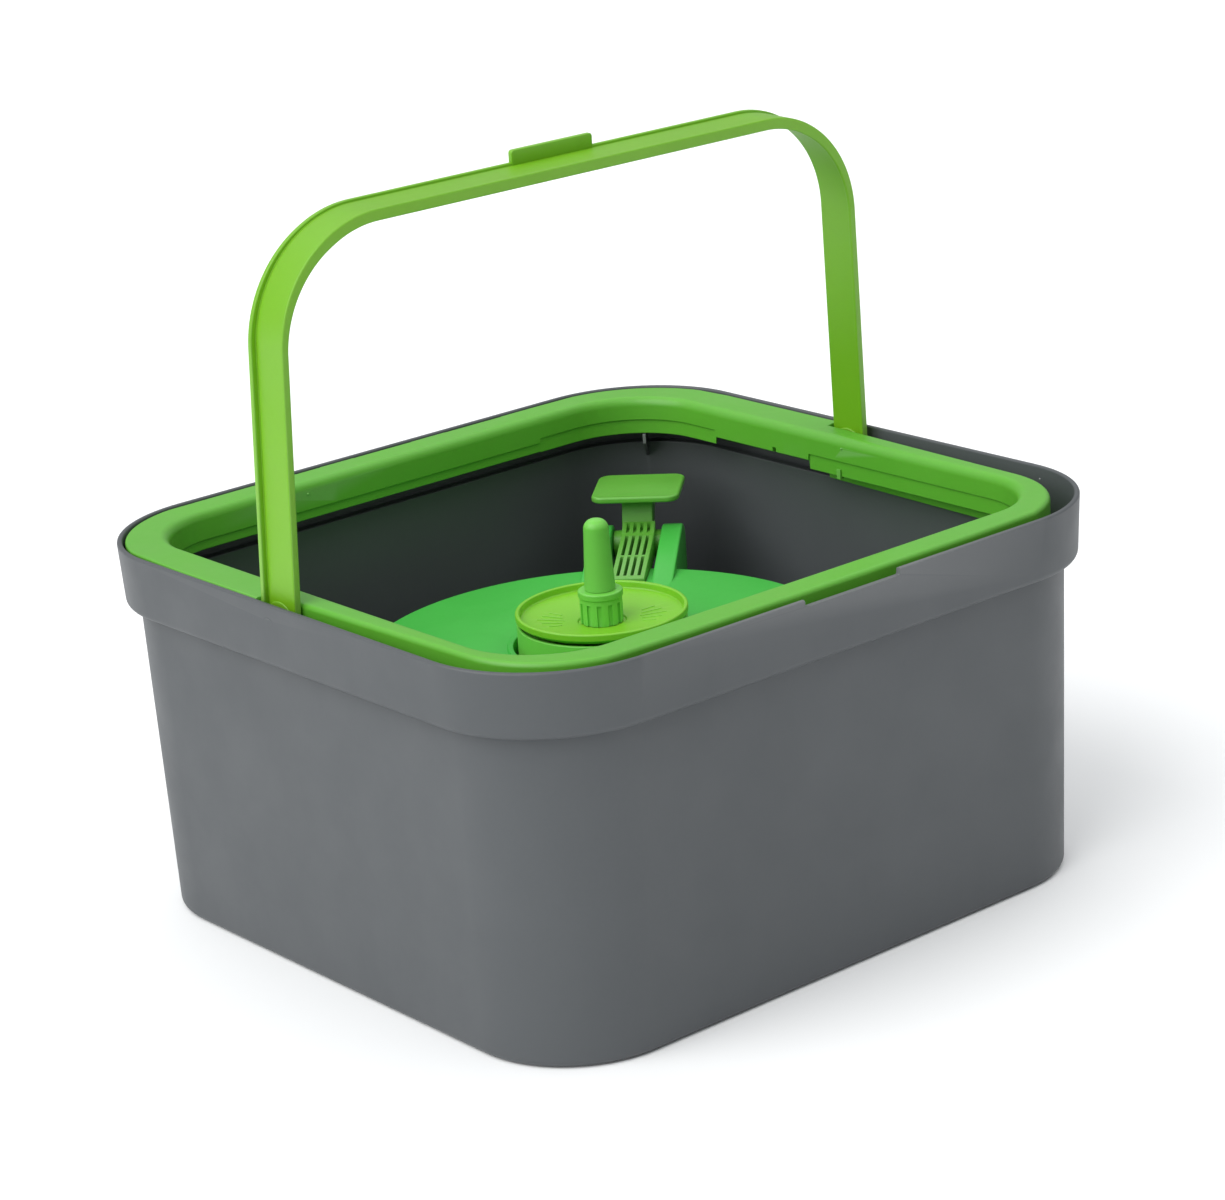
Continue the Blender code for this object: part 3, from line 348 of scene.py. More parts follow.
class Nodes:
    """A short way to add linked shader nodes to a new material."""

    def __init__(self, name):
        self.material = bpy.data.materials.new(name)
        self.material.use_nodes = True
        self.tree = self.material.node_tree
        self.shader = self.tree.nodes["Principled BSDF"]
        self.coordinates = self.tree.nodes.new("ShaderNodeTexCoord").outputs["Object"]

    def add(self, kind, inputs=(), **settings):
        node = self.tree.nodes.new(kind)
        for key, value in settings.items():
            setattr(node, key, value)
        for key, value in dict(inputs).items():
            if isinstance(value, bpy.types.NodeSocket):
                self.tree.links.new(value, node.inputs[key])
            else:
                node.inputs[key].default_value = value
        return node

    def noise(self, scale, detail=2.0, roughness=0.5):
        inputs = {"Vector": self.coordinates, "Scale": scale, "Detail": detail, "Roughness": roughness}
        return self.add("ShaderNodeTexNoise", inputs).outputs["Fac"]

    def span(self, value, low, high, start=0.3, end=0.7):
        """A value mapped from between start and end to between low and high."""
        inputs = {"Value": value, "From Min": start, "From Max": end, "To Min": low, "To Max": high}
        return self.add("ShaderNodeMapRange", inputs).outputs["Result"]

    def mix(self, factor, first, second):
        node = self.add("ShaderNodeMix", data_type="RGBA")
        for index, value in ((0, factor), (6, first), (7, second)):
            if isinstance(value, bpy.types.NodeSocket):
                self.tree.links.new(value, node.inputs[index])
            elif index:
                node.inputs[index].default_value = (*value, 1)
            else:
                node.inputs[index].default_value = value
        return node.outputs[2]

    def bump(self, height, strength, distance, normal=None):
        inputs = {"Height": height, "Strength": strength, "Distance": distance}
        if normal:
            inputs["Normal"] = normal
        return self.add("ShaderNodeBump", inputs).outputs["Normal"]

    def link(self, value, socket):
        self.tree.links.new(value, self.shader.inputs[socket])


def shade(colour, factor):
    return tuple(min(channel * factor, 1) for channel in colour)


def moulded_plastic(name, colour, roughness, mottle, grain, edge):
    """Injection-moulded plastic: soft colour patches, paler edges that are part wear and part painted highlight,
    flow marks, fine grain, uneven gloss.
    """
    nodes = Nodes(name)
    patches = nodes.span(nodes.noise(9, 3, 0.55), 0, 1)
    tone = nodes.mix(patches, shade(colour, 1 - mottle), shade(colour, 1 + mottle))
    speckle = nodes.span(nodes.noise(420, 2, 0.6), 0, 1, 0.35, 0.75)
    tone = nodes.mix(nodes.span(speckle, 0, 0.35, 0, 1), tone, shade(colour, 1 - 1.5 * mottle))
    # Convex edges painted paler: partly edge wear, partly a painted highlight where rounded lips catch the light.
    pointiness = nodes.add("ShaderNodeNewGeometry").outputs["Pointiness"]
    wear_and_edge_highlight = nodes.span(pointiness, 0, edge * 4, 0.52, 0.60)
    tone = nodes.mix(wear_and_edge_highlight, tone, tuple(channel + (1 - channel) * 0.25 for channel in shade(colour, 1.1)))
    nodes.link(tone, "Base Color")
    gloss = nodes.span(nodes.noise(26, 4, 0.6), roughness - 0.05, roughness + 0.07)
    nodes.link(gloss, "Roughness")
    flow = nodes.bump(nodes.noise(14, 2, 0.4), 0.12, 0.0008)
    nodes.link(nodes.bump(nodes.noise(1500, 2, 0.5), grain, 0.00015, flow), "Normal")
    nodes.shader.inputs["Specular IOR Level"].default_value = 0.5
    nodes.shader.inputs["IOR"].default_value = 1.48
    return nodes.material


def green_plastic(name, colour, deep, roughness, mottle=0.04):
    """Translucent-looking pigmented plastic: a touch of subsurface, and moulding flow in its tint."""
    material = moulded_plastic(name, colour, roughness, mottle, 0.03, 0.06)
    shader = material.node_tree.nodes["Principled BSDF"]
    shader.inputs["Subsurface Weight"].default_value = 0.12
    shader.inputs["Subsurface Radius"].default_value = deep
    shader.inputs["Subsurface Scale"].default_value = 0.004
    return material


def drawn_steel(name):
    """Drawn or turned steel wire and rod, with fine lines and a little oil darkening."""
    nodes = Nodes(name)
    lines = nodes.noise(900, 3, 0.7)
    stain = nodes.span(nodes.noise(60, 3, 0.6), 0, 1)
    nodes.link(nodes.mix(stain, (0.50, 0.51, 0.52), (0.66, 0.66, 0.67)), "Base Color")
    nodes.link(nodes.span(lines, 0.22, 0.42), "Roughness")
    nodes.link(nodes.bump(lines, 0.15, 0.0001), "Normal")
    nodes.shader.inputs["Metallic"].default_value = 1.0
    return nodes.material


def rubber(name):
    nodes = Nodes(name)
    dust = nodes.span(nodes.noise(140, 4, 0.6), 0, 1)
    nodes.link(nodes.mix(dust, (0.018, 0.018, 0.020), (0.035, 0.035, 0.036)), "Base Color")
    nodes.link(nodes.span(nodes.noise(60), 0.62, 0.80), "Roughness")
    nodes.link(nodes.bump(nodes.noise(1100), 0.25, 0.0001), "Normal")
    return nodes.material


# The last number of each moulded plastic sets its pale edges, part wear and part painted highlight.
GREY = moulded_plastic("bucket grey", (0.073, 0.080, 0.086), 0.50, 0.035, 0.10, 0.10)
LIME = green_plastic("handle lime", (0.150, 0.390, 0.006), (0.3, 1.0, 0.15), 0.42)
RING = green_plastic("frame green", (0.102, 0.385, 0.026), (0.3, 1.0, 0.3), 0.40)
PEDAL = green_plastic("pedal green", (0.112, 0.375, 0.040), (0.3, 1.0, 0.3), 0.38)
LEAF = green_plastic("leaf green", (0.058, 0.460, 0.060), (0.2, 1.0, 0.3), 0.38)
DISC = green_plastic("disc green", (0.205, 0.550, 0.022), (0.3, 1.0, 0.15), 0.34)
POST = green_plastic("post green", (0.170, 0.590, 0.072), (0.3, 1.0, 0.3), 0.36)
NATURAL = moulded_plastic("natural acetal", (0.60, 0.60, 0.56), 0.42, 0.03, 0.04, 0.05)
STEEL = drawn_steel("drawn steel")
BLACK = rubber("seal rubber")


# Bucket

def bucket_ring(inset, radius, height):
    outline = rounded_rectangle(HALF_X - inset, HALF_Y - inset, radius)
    return [(x, y, height) for x, y in outline]


def bucket_profile():
    """(inset, height) from the underside's recess out, up the outside, over the rim and down the inside."""
    inner_floor = BODY_BASE_INSET + WALL
    ledge = BAND_BOTTOM + WALL
    corner = BAND_ROUND - WALL
    return fillet([
        (60 * MM, FLOOR_LOW), (20 * MM, FLOOR_LOW, 0.6 * MM), (19.4 * MM, 0, 0.5 * MM),
        (BODY_BASE_INSET, 0, BASE_ROUND), (BODY_TOP_INSET, BAND_BOTTOM, 1.0 * MM),
        (BAND_INSET, BAND_BOTTOM, BAND_ROUND), (0, HEIGHT, 1.2 * MM), (WALL, HEIGHT, 1.1 * MM),
        (WALL + BAND_INSET, ledge, corner), (BODY_TOP_INSET + WALL, ledge, 0.8 * MM),
        (inner_floor, FLOOR_TOP, 4 * MM), (60 * MM, FLOOR_TOP),
    ], steps=6, closed=False)


def witness_ring(side):
    """The faint ring that the blind socket leaves on the rim band's outside."""
    face = side * (HALF_X + 1 * MM)
    depth = side * (HALF_X - 0.45 * MM)
    outer = prism("witness", circle(6.1 * MM, 48, (PIVOT_Y, PIVOT_Z)), depth, face, "X")
    cut(outer, prism("witness_core", circle(5.5 * MM, 48, (PIVOT_Y, PIVOT_Z)), side * 190 * MM,
                     side * 200 * MM, "X"))
    return outer


def make_bucket():
    rings = []
    for inset, height in bucket_profile():
        share = min(max(height / BAND_BOTTOM, 0), 1)
        at_wall = BODY_BASE_INSET + (BODY_TOP_INSET - BODY_BASE_INSET) * share
        corner = BASE_RADIUS + (RIM_RADIUS - BODY_TOP_INSET - BASE_RADIUS) * share
        rings.append(bucket_ring(inset, max(corner - (inset - at_wall), 6 * MM), height))
    bm = bmesh.new()
    loft(bm, rings)
    bucket = piece("bucket_shell", bm, GREY)
    in_wall, hole_end = HALF_X - 2.2 * MM, HALF_X - 1.8 * MM
    pivot = (PIVOT_Y, PIVOT_Z)
    sides = (-1, 1)
    join(bucket, *[soften(prism(f"boss{s}", circle(BOSS_RADIUS, 48, pivot), s * BOSS_FACE, s * in_wall, "X"),
                          0.4 * MM, 2) for s in sides])
    cutters = [prism(f"socket{s}", circle(PIN_RADIUS + 0.4 * MM, 48, pivot), s * 180 * MM, s * hole_end, "X")
               for s in sides]
    notch = fillet([(-NOTCH_HALF, NOTCH_FLOOR, 0.8 * MM), (NOTCH_HALF, NOTCH_FLOOR, 0.8 * MM),
                    (NOTCH_HALF, HEIGHT + 5 * MM), (-NOTCH_HALF, HEIGHT + 5 * MM)])
    cutters.append(prism("rim_notch", notch, -HALF_Y - 10 * MM, -HALF_Y + 10 * MM, "Y"))
    cutters += [prism(f"floor_hole{k}", circle(2.4 * MM, 24, place), -1 * MM, 12 * MM)
                for k, place in enumerate(screw_places())]
    cut(bucket, *cutters, *[witness_ring(side) for side in sides])
    ribs = [locating_rib(side) for side in (1, -1)]
    specks = [gate_speck(*place) for place in RIM_GATES]
    join(bucket, *ribs, *specks)
    finish_shading(bucket)
    mount(bucket, "root", "grey_plastic", "bucket")


def screw_places():
    angles = (radians(degrees) for degrees in (0, 90, 180, 270))
    return [(SCREW_CIRCLE * cos(a), SCREW_CIRCLE * sin(a)) for a in angles]


def locating_rib(side):
    """A short upright rib inside a back corner, under the rim frame."""
    reach = Vector((HALF_X - RIM_RADIUS, HALF_Y - RIM_RADIUS)).length
    wall = reach + RIM_RADIUS - BODY_TOP_INSET - WALL
    angle = atan((HALF_Y - RIM_RADIUS) / (HALF_X - RIM_RADIUS))
    turn = angle if side > 0 else pi - angle
    inner, in_wall = wall - RIB_LENGTH, wall + 1 * MM
    outline = fillet([(inner, RIB_LOW, 1 * MM), (in_wall, 158 * MM), (in_wall, 166.5 * MM),
                      (wall - 2 * MM, RIB_TOP, 1 * MM), (inner, RIB_TOP, 1 * MM)])
    rib = prism(f"rib{side}", outline, -RIB_HALF, RIB_HALF, "Y")
    rib.data.transform(Matrix.Rotation(turn, 4, "Z"))
    return rib


def gate_speck(x, y):
    """A small moulding gate on the rim's top."""
    bm = bmesh.new()
    bmesh.ops.create_uvsphere(bm, u_segments=12, v_segments=8, radius=GATE_RADIUS)
    speck = piece("speck", bm)
    speck.data.transform(Matrix.Translation((x, y, HEIGHT - GATE_RADIUS)))
    return speck


# Carry handle

def handle_outline(steps=32):
    """Half of the handle's outer face as (x, distance from the pivot)."""
    lean = atan(HANDLE_SLOPE)
    low = HANDLE_REACH - HANDLE_CORNER
    centre_x = HANDLE_X - HANDLE_SLOPE * low - HANDLE_CORNER / cos(lean)
    return [(HANDLE_X, 0)] + arc((centre_x, low), HANDLE_CORNER, lean * 180 / pi, 90, steps)


def strip_section(lip, depth):
    """The strip's section as (outward, across), from its front edge round to its back edge."""
    back = STRIP_HALF - LIP_WIDTH
    groove = back - 1.0 * MM
    front = -STRIP_HALF + 2.2 * MM
    dip = min(0.5 * MM, lip * 0.3)
    return fillet([
        (0, -STRIP_HALF, 0.9 * MM), (0, groove - 0.8 * MM, 0.3 * MM), (-dip, groove, 0.3 * MM),
        (-dip, back, 0.3 * MM), (lip, back, 0.7 * MM), (lip, STRIP_HALF, 0.7 * MM),
        (-STRIP_WALL, STRIP_HALF, 0.8 * MM), (-STRIP_WALL, front, 0.7 * MM),
        (-depth, front, 0.6 * MM), (-depth, -STRIP_HALF, 0.8 * MM),
    ], steps=3)


def handle_path():
    """Points and outward directions along the whole handle, with each one's lip and front edge depth."""
    half = handle_outline()
    lean = atan(HANDLE_SLOPE)
    steps = len(half) - 2
    right = [(half[0], (cos(lean), sin(lean)), LIP, STRIP_RETURN)]
    for k in range(steps + 1):
        angle = lean + (pi / 2 - lean) * k / steps
        share = min(1, 1.5 * k / steps)
        lip, depth = LIP + (TOP_LIP - LIP) * share, STRIP_RETURN + (TOP_RETURN - STRIP_RETURN) * share
        right.append((half[k + 1], (cos(angle), sin(angle)), lip, depth))
    left = [((-x, z), (-nx, nz), lip, depth) for (x, z), (nx, nz), lip, depth in reversed(right)]
    return right + left


def make_handle():
    bm = bmesh.new()
    rings = []
    for (x, z), (nx, nz), lip, depth in handle_path():
        rings.append([(x + out * nx, across, z + out * nz) for out, across in strip_section(lip, depth)])
    loft(bm, rings)
    handle = piece("carry_handle_strip", bm, LIME)
    parts = []
    for side in (-1, 1):
        inner, outer = side * (HANDLE_X - STRIP_RETURN), side * (HANDLE_X - 0.05 * MM)
        foot = prism(f"foot{side}", circle(STRIP_HALF - 0.05 * MM, 96), inner, outer, "X")
        parts.append(soften(foot, 0.7 * MM, 3))
        tip = side * (PIN_TIP - 0.02 * MM)
        pin = prism(f"pin{side}", circle(PIN_RADIUS, 48), side * (HANDLE_X - 2 * MM), tip, "X")
        parts.append(soften(pin, 0.6 * MM, 3))
    low, high = HANDLE_REACH - 1 * MM, HANDLE_REACH + TAB_HEIGHT
    tab = prism("tab", fillet([(-TAB_HALF, low), (TAB_HALF, low), (TAB_HALF, high, 1.6 * MM),
                               (-TAB_HALF, high, 1.6 * MM)], 5), STRIP_HALF - LIP_WIDTH - 0.3 * MM,
                STRIP_HALF - 0.03 * MM, "Y")
    parts.append(soften(tab, 0.5 * MM, 3))
    join(handle, *parts)
    tilt_handle(handle)
    finish_shading(handle)
    mount(handle, "handle", "green_plastic", "carry_handle")


# Rim frame

def channel_outline():
    """The frame's outer edge in front of the pivots: the folded handle's inside, less a clearance."""
    path = handle_path()
    right = []
    for (x, reach), (nx, nz), _, depth in path[:len(path) // 2]:
        inward = depth + CHANNEL_GAP
        right.append((x - nx * inward, PIVOT_Y - reach + nz * inward))
    foot_x, foot_y = right[0]
    right[0] = (foot_x + HANDLE_SLOPE * (FRAME_STEP_Y - foot_y), FRAME_STEP_Y)
    return right


def ray_to(outline, direction):
    """Where the ray from the origin crosses an outline that goes once round it."""
    for (ax, ay), (bx, by) in zip(outline, outline[1:] + outline[:1]):
        dx, dy = bx - ax, by - ay
        across = direction[0] * dy - direction[1] * dx
        if abs(across) < 1e-12:
            continue
        along = (ax * dy - ay * dx) / across
        share = (ax * direction[1] - ay * direction[0]) / across
        if along > 0 and -1e-9 <= share <= 1 + 1e-9:
            return along * direction[0], along * direction[1]
    raise ValueError("the outline doesn't go round the origin")


def skirt_heights(point):
    """Where the inner skirt steps back, and where it ends, at a point on the frame's opening."""
    x, y = point
    if y < SKIRT_BREAK_LOW_Y and x > 0:
        return SKIRT_FRONT
    if x > SKIRT_BREAK_X and y > SKIRT_BREAK_HIGH_Y:
        return SKIRT_CORNER
    if x > 0 and y < SKIRT_BREAK_HIGH_Y:
        return SKIRT_RIGHT
    return SKIRT_BACK


def frame_section(inner, top_edge, foot_edge, wide):
    """One section of the rim frame, along a ray from a point on its opening."""
    start = hypot(*inner)
    width, foot = hypot(*top_edge) - start, hypot(*foot_edge) - start
    under = FRAME_TOP - FRAME_WALL
    step, bottom = skirt_heights(inner)
    low = BACK_SKIRT_LOW if wide else FRAME_FOOT
    if wide:
        tapered = width - FRAME_TAPER
        ankle = [(tapered, low + 4.5 * MM, 0.5 * MM), (foot, low + 1.1 * MM, 0.3 * MM)]
        sole = [(foot - FRAME_WALL, low, 0.4 * MM), (tapered - FRAME_WALL, low + 5 * MM, 0.5 * MM)]
        outer_round = 1.4 * MM
    else:
        ankle = [(width, CHANNEL_FLOOR, 0.5 * MM), (foot, CHANNEL_FLOOR, 0.4 * MM)]
        sole = [(width - FRAME_WALL, low, 0.4 * MM), (width - FRAME_WALL, low + 5 * MM, 0.5 * MM)]
        outer_round = 2.6 * MM
    outline = fillet([
        (0, step, 0.3 * MM), (0, FRAME_TOP, FRAME_ROUND), (width, FRAME_TOP, outer_round), *ankle,
        (foot, low, 0.4 * MM), *sole, (width - FRAME_WALL, under, 0.6 * MM),
        (FRAME_WALL + STEP_DEPTH, under, 0.6 * MM), (FRAME_WALL + STEP_DEPTH, bottom, 0.4 * MM),
        (STEP_DEPTH, bottom, 0.4 * MM), (STEP_DEPTH, step - 0.4 * MM, 0.2 * MM),
    ], steps=5)
    share = [distance / start + 1 for distance, _ in outline]
    return [(inner[0] * s, inner[1] * s, height) for s, (_, height) in zip(share, outline)]


def make_rim_frame():
    half_y, middle_y = (FRAME_BACK_Y - FRAME_FRONT_Y) / 2, (FRAME_BACK_Y + FRAME_FRONT_Y) / 2
    opening = [(x, y + middle_y) for x, y in rounded_rectangle(FRAME_HALF_X, half_y, FRAME_RADIUS, 20, 6)]
    inset = FRAME_FOOT_INSET
    foot = rounded_rectangle(HALF_X - inset, HALF_Y - inset, RIM_RADIUS - inset, 40)
    edge_radius = RIM_RADIUS - (HALF_X - FRAME_EDGE_X)
    back = rounded_rectangle(FRAME_EDGE_X, FRAME_EDGE_Y, edge_radius, 40)
    right = channel_outline()
    front = right + [(-x, y) for x, y in reversed(right)] + [(-HALF_X, HALF_Y), (HALF_X, HALF_Y)]
    step = 0.4 * MM
    edge_share = FRAME_HALF_X / FRAME_EDGE_X
    stations = list(opening)
    breaks = [(FRAME_HALF_X, SKIRT_BREAK_LOW_Y), (FRAME_HALF_X, SKIRT_BREAK_HIGH_Y),
              (SKIRT_BREAK_X, FRAME_BACK_Y)]
    for x, y in breaks:
        along = (0, 0.25 * MM) if x == FRAME_HALF_X else (0.25 * MM, 0)
        stations += [(x - along[0], y - along[1]), (x + along[0], y + along[1])]
    for y in (FRAME_STEP_Y - step, FRAME_STEP_Y + step):
        stations += [(side * FRAME_HALF_X, y * edge_share) for side in (1, -1)]
    stations.sort(key=lambda point: -Vector(point).angle_signed(Vector((1, 0))) % (2 * pi))
    bm = bmesh.new()
    rings = []
    for inner in stations:
        wide = inner[1] > FRAME_STEP_Y * edge_share
        rings.append(frame_section(inner, ray_to(back if wide else front, inner), ray_to(foot, inner), wide))
    loft(bm, rings, closed=True)
    ring = piece("rim_frame_ring", bm, RING)
    cutters = []
    for start, end in EDGE_SLOTS:
        outline = rectangle((start, FRAME_EDGE_Y - 1.6 * MM), (end, FRAME_EDGE_Y + 1.0 * MM))
        cutters.append(prism("slot", outline, FRAME_TOP - 1.6 * MM, FRAME_TOP + 2 * MM))
    nick = rectangle((FRAME_HALF_X - 3 * MM, 48.6 * MM), (FRAME_HALF_X + 3 * MM, 51.4 * MM))
    cutters.append(prism("nick", nick, 170 * MM, 182.6 * MM))
    cut(ring, *cutters)
    nub_outline = rectangle((FRAME_HALF_X - 0.1 * MM, -1.4 * MM), (FRAME_HALF_X + 2.6 * MM, 1.4 * MM))
    nub = soften(prism("nub", nub_outline, 173.6 * MM, 179 * MM), 0.3 * MM, 2)
    specks = []
    for place in FRAME_GATES:
        bm = bmesh.new()
        bmesh.ops.create_uvsphere(bm, u_segments=12, v_segments=8, radius=FRAME_GATE_RADIUS)
        speck = piece("gate", bm)
        speck.data.transform(Matrix.Translation(place))
        specks.append(speck)
    join(ring, nub, *specks)
    finish_shading(ring)
    mount(ring, "root", "green_plastic", "rim_frame")


# Spinning unit

def radial_hole(name, angle):
    hole = prism(name, circle(1.8 * MM, 24, (0, COVER_SCREW_Z)), 110 * MM, 135 * MM, "X")
    hole.data.transform(Matrix.Rotation(angle, 4, "Z"))
    return hole


def make_top_cover():
    well, wall = WELL_RADIUS, 2.3 * MM
    under = PLATFORM_TOP - PLATFORM_WALL
    floor_top = WELL_FLOOR + PLATFORM_WALL
    hub, room = 11.0 * MM, CASING_RADIUS + 0.4 * MM
    hub_low, hub_top = 105.5 * MM, 117.0 * MM
    lip_top = PLATFORM_TOP + 2.0 * MM
    profile = fillet([
        (BUSH_BORE, hub_low, 0.4 * MM), (hub, hub_low, 0.4 * MM), (hub, WELL_FLOOR, 0.6 * MM),
        (well + wall, WELL_FLOOR, 0.8 * MM), (well + wall, under, 0.8 * MM), (room, under, 0.8 * MM),
        (room, SKIRT_LOW, 0.4 * MM), (PLATFORM_RADIUS, SKIRT_LOW, 0.5 * MM),
        (PLATFORM_RADIUS, PLATFORM_TOP - 0.5 * MM, 2.0 * MM),
        (well + 3.4 * MM, PLATFORM_TOP + 0.6 * MM, 1.2 * MM),
        (well + 3.0 * MM, lip_top, 0.7 * MM), (well + 0.3 * MM, lip_top, 0.7 * MM),
        (well, floor_top, 0.8 * MM), (hub, floor_top, 0.8 * MM), (hub, hub_top, 0.5 * MM),
        (BUSH_BORE, hub_top, 0.4 * MM),
    ], steps=4)
    cover = turned("unit_cover", profile, LEAF, 160)
    start, low = 92 * MM - HUB_OUT, 104.5 * MM - HUB.z
    outline = [(start, low), (CHEEK_ROUND, low)] + arc((0, 0), CHEEK_ROUND, 0, 100, 16)
    outline += [(start, PLATFORM_TOP - 1 * MM - HUB.z)]
    cheeks = []
    for side in (-1, 1):
        cheek = prism(f"cheek{side}", outline, side * CHEEK_INNER, side * CHEEK_OUTER, "Y")
        cheeks.append(soften(at_pedal(cheek), 1.3 * MM, 4))
    join(cover, *cheeks)
    box_room = rectangle((85 * MM - HUB_OUT, 90 * MM - HUB.z), (30 * MM, BOX_TOP - HUB.z + GAP))
    room_half = CHEEK_OUTER + 0.5 * MM
    slot = rectangle((94 * MM - HUB_OUT, 98 * MM - HUB.z), (20 * MM, 12 * MM))
    slot_half = CHEEK_INNER - 3 * MM
    cutters = [
        at_pedal(prism("box_room", box_room, -room_half, room_half, "Y")),
        at_pedal(prism("arm_slot", slot, -slot_half, slot_half, "Y")),
        at_pedal(prism("pin_hole", circle(PIN_BORE, 32), -PIN_RIGHT, 30 * MM, "Y")),
    ]
    cutters += [radial_hole(f"hole{k}", angle) for k, angle in enumerate(COVER_SCREW_ANGLES)]
    cut(cover, *cutters)
    finish_shading(cover)
    mount(cover, "root", "inner_green_plastic", "top_cover")


def make_base_casing():
    outer, inner = CASING_RADIUS, CASING_RADIUS - CASING_WALL
    low = FLOOR_TOP + GAP
    floor = low + 3 * MM
    boss, boss_top, bush_floor = 11 * MM, 22 * MM, 10 * MM
    profile = fillet([
        (0, low), (outer, low, 3 * MM), (outer, CASING_TOP, 0.6 * MM), (inner, CASING_TOP, 0.6 * MM),
        (inner, floor, 1.5 * MM), (boss, floor, 1.0 * MM), (boss, boss_top, 0.6 * MM),
        (BUSH_BORE, boss_top, 0.5 * MM), (BUSH_BORE, bush_floor), (0, bush_floor),
    ], steps=4)
    casing = turned("unit_casing", profile, GREY, 128)
    wide, wall = CHEEK_OUTER, 3 * MM
    outside = rectangle((118 * MM, -wide), (EXTENSION_OUT, wide))
    extension = soften(prism("extension", outside, low + 0.05 * MM, BOX_TOP), 1.2 * MM, 3)
    join(casing, turn_to_pedal(extension))
    inside = rectangle((85 * MM, -wide + wall), (EXTENSION_OUT - wall, wide - wall))
    half = wide + 0.5 * MM
    above = rectangle((100 * MM, -half), (135 * MM, half))
    cutters = [turn_to_pedal(prism("inside", inside, floor + 0.05 * MM, CASING_TOP + 5 * MM)),
               turn_to_pedal(prism("above", above, BOX_TOP - 0.05 * MM, CASING_TOP + 5 * MM))]
    cutters += [radial_hole(f"hole{k}", angle) for k, angle in enumerate(COVER_SCREW_ANGLES)]
    cut(casing, *cutters)
    posts = [prism(f"post{k}", circle(6 * MM, 32, place), low + 0.5 * MM, 19 * MM)
             for k, place in enumerate(screw_places())]
    join(casing, *posts)
    cut(casing, *[prism(f"bore{k}", circle(2.3 * MM, 24, place), 0, 16 * MM)
                  for k, place in enumerate(screw_places())])
    finish_shading(casing)
    mount(casing, "root", "grey_plastic", "base_casing")


def make_spin_disc():
    ring, bore, rib_half = DISC_RADIUS, BORE_RADIUS, 0.35 * MM
    profile = fillet([
        (bore, 136.6 * MM), (ring - 3.5 * MM, 140.4 * MM, 0.8 * MM), (ring, 142.9 * MM, 0.6 * MM),
        (ring, DISC_TOP, 0.9 * MM), (ring - 2.2 * MM, DISC_TOP, 0.9 * MM),
        (ring - DISH_LIP, DISH_EDGE, 1.0 * MM), (DISH_FOOT, DISH_LOW, 0.5 * MM),
        (12 * MM, 138.6 * MM, 0.4 * MM), (bore, 138.6 * MM),
    ], steps=4)
    disc = turned("disc_plate", profile, DISC, 160)
    ribs = []
    for middle in (0, pi):
        for k in range(-2, 3):
            angle = radians(-39) + middle + k * radians(11)
            start, end = (19 + 1.5 * abs(k)) * MM, (33 - 2 * abs(k)) * MM
            rib = prism("rib", rectangle((start, -rib_half), (end, rib_half)), 137.6 * MM, 142.4 * MM)
            rib.data.transform(Matrix.Rotation(angle, 4, "Z"))
            ribs.append(rib)
    slope = (DISH_EDGE - DISH_LOW) / (ring - DISH_LIP - DISH_FOOT)
    for rib in ribs:
        for vertex in rib.data.vertices:
            if vertex.co.z > 141 * MM:
                reach = hypot(vertex.co.x, vertex.co.y)
                vertex.co.z = DISH_LOW + (reach - DISH_FOOT) * slope + rib_half
    join(disc, *ribs)
    finish_shading(disc)
    mount(disc, "spinner", "disc_plastic", "spin_disc")


def make_spin_drum():
    outer, bore, hub = DRUM_RADIUS, BORE_RADIUS, 8.0 * MM
    inner, low, top, hub_top = outer - 1.8 * MM, 113 * MM, 140 * MM, 136.3 * MM
    profile = fillet([
        (bore, 119 * MM), (hub, 119 * MM, 0.4 * MM), (hub, 131.8 * MM, 0.6 * MM),
        (inner, 135.8 * MM, 0.6 * MM), (inner, low, 0.4 * MM), (outer, low, 0.4 * MM),
        (outer, top, 0.7 * MM), (outer - 1.6 * MM, top, 0.5 * MM), (outer - 2.2 * MM, 138 * MM, 0.5 * MM),
        (hub, 134 * MM, 0.5 * MM), (hub, hub_top, 0.3 * MM), (bore, hub_top),
    ], steps=4)
    drum = turned("drum_wall", profile, POST, 160)
    finish_shading(drum)
    mount(drum, "spinner", "inner_green_plastic", "spin_drum")


def make_post_collar():
    collar, waist, bore = COLLAR_RADIUS, COLLAR_RADIUS - 0.6 * MM, SPIGOT + GAP
    profile = fillet([
        (bore, COLLAR_LOW), (waist, COLLAR_LOW, 0.3 * MM), (waist, COLLAR_TOP - 3.6 * MM, 0.3 * MM),
        (collar, COLLAR_TOP - 3.2 * MM, 0.3 * MM), (collar, COLLAR_TOP, 0.9 * MM),
        (bore, COLLAR_TOP, 0.5 * MM),
    ], steps=4)
    ring = turned("collar_ring", profile, POST, 96)
    cutters = []
    for k in range(COLLAR_SLOTS):
        slot = soften(prism("slot", rectangle((waist - 1 * MM, -1.2 * MM), (waist + 2 * MM, 1.2 * MM)),
                            COLLAR_LOW - 2 * MM, COLLAR_TOP - 6 * MM), 0.2 * MM, 2)
        slot.data.transform(Matrix.Rotation(2 * pi * (k + 0.5) / COLLAR_SLOTS, 4, "Z"))
        cutters.append(slot)
    cut(ring, *cutters)
    finish_shading(ring)
    mount(ring, "spinner", "disc_plastic", "post_collar")


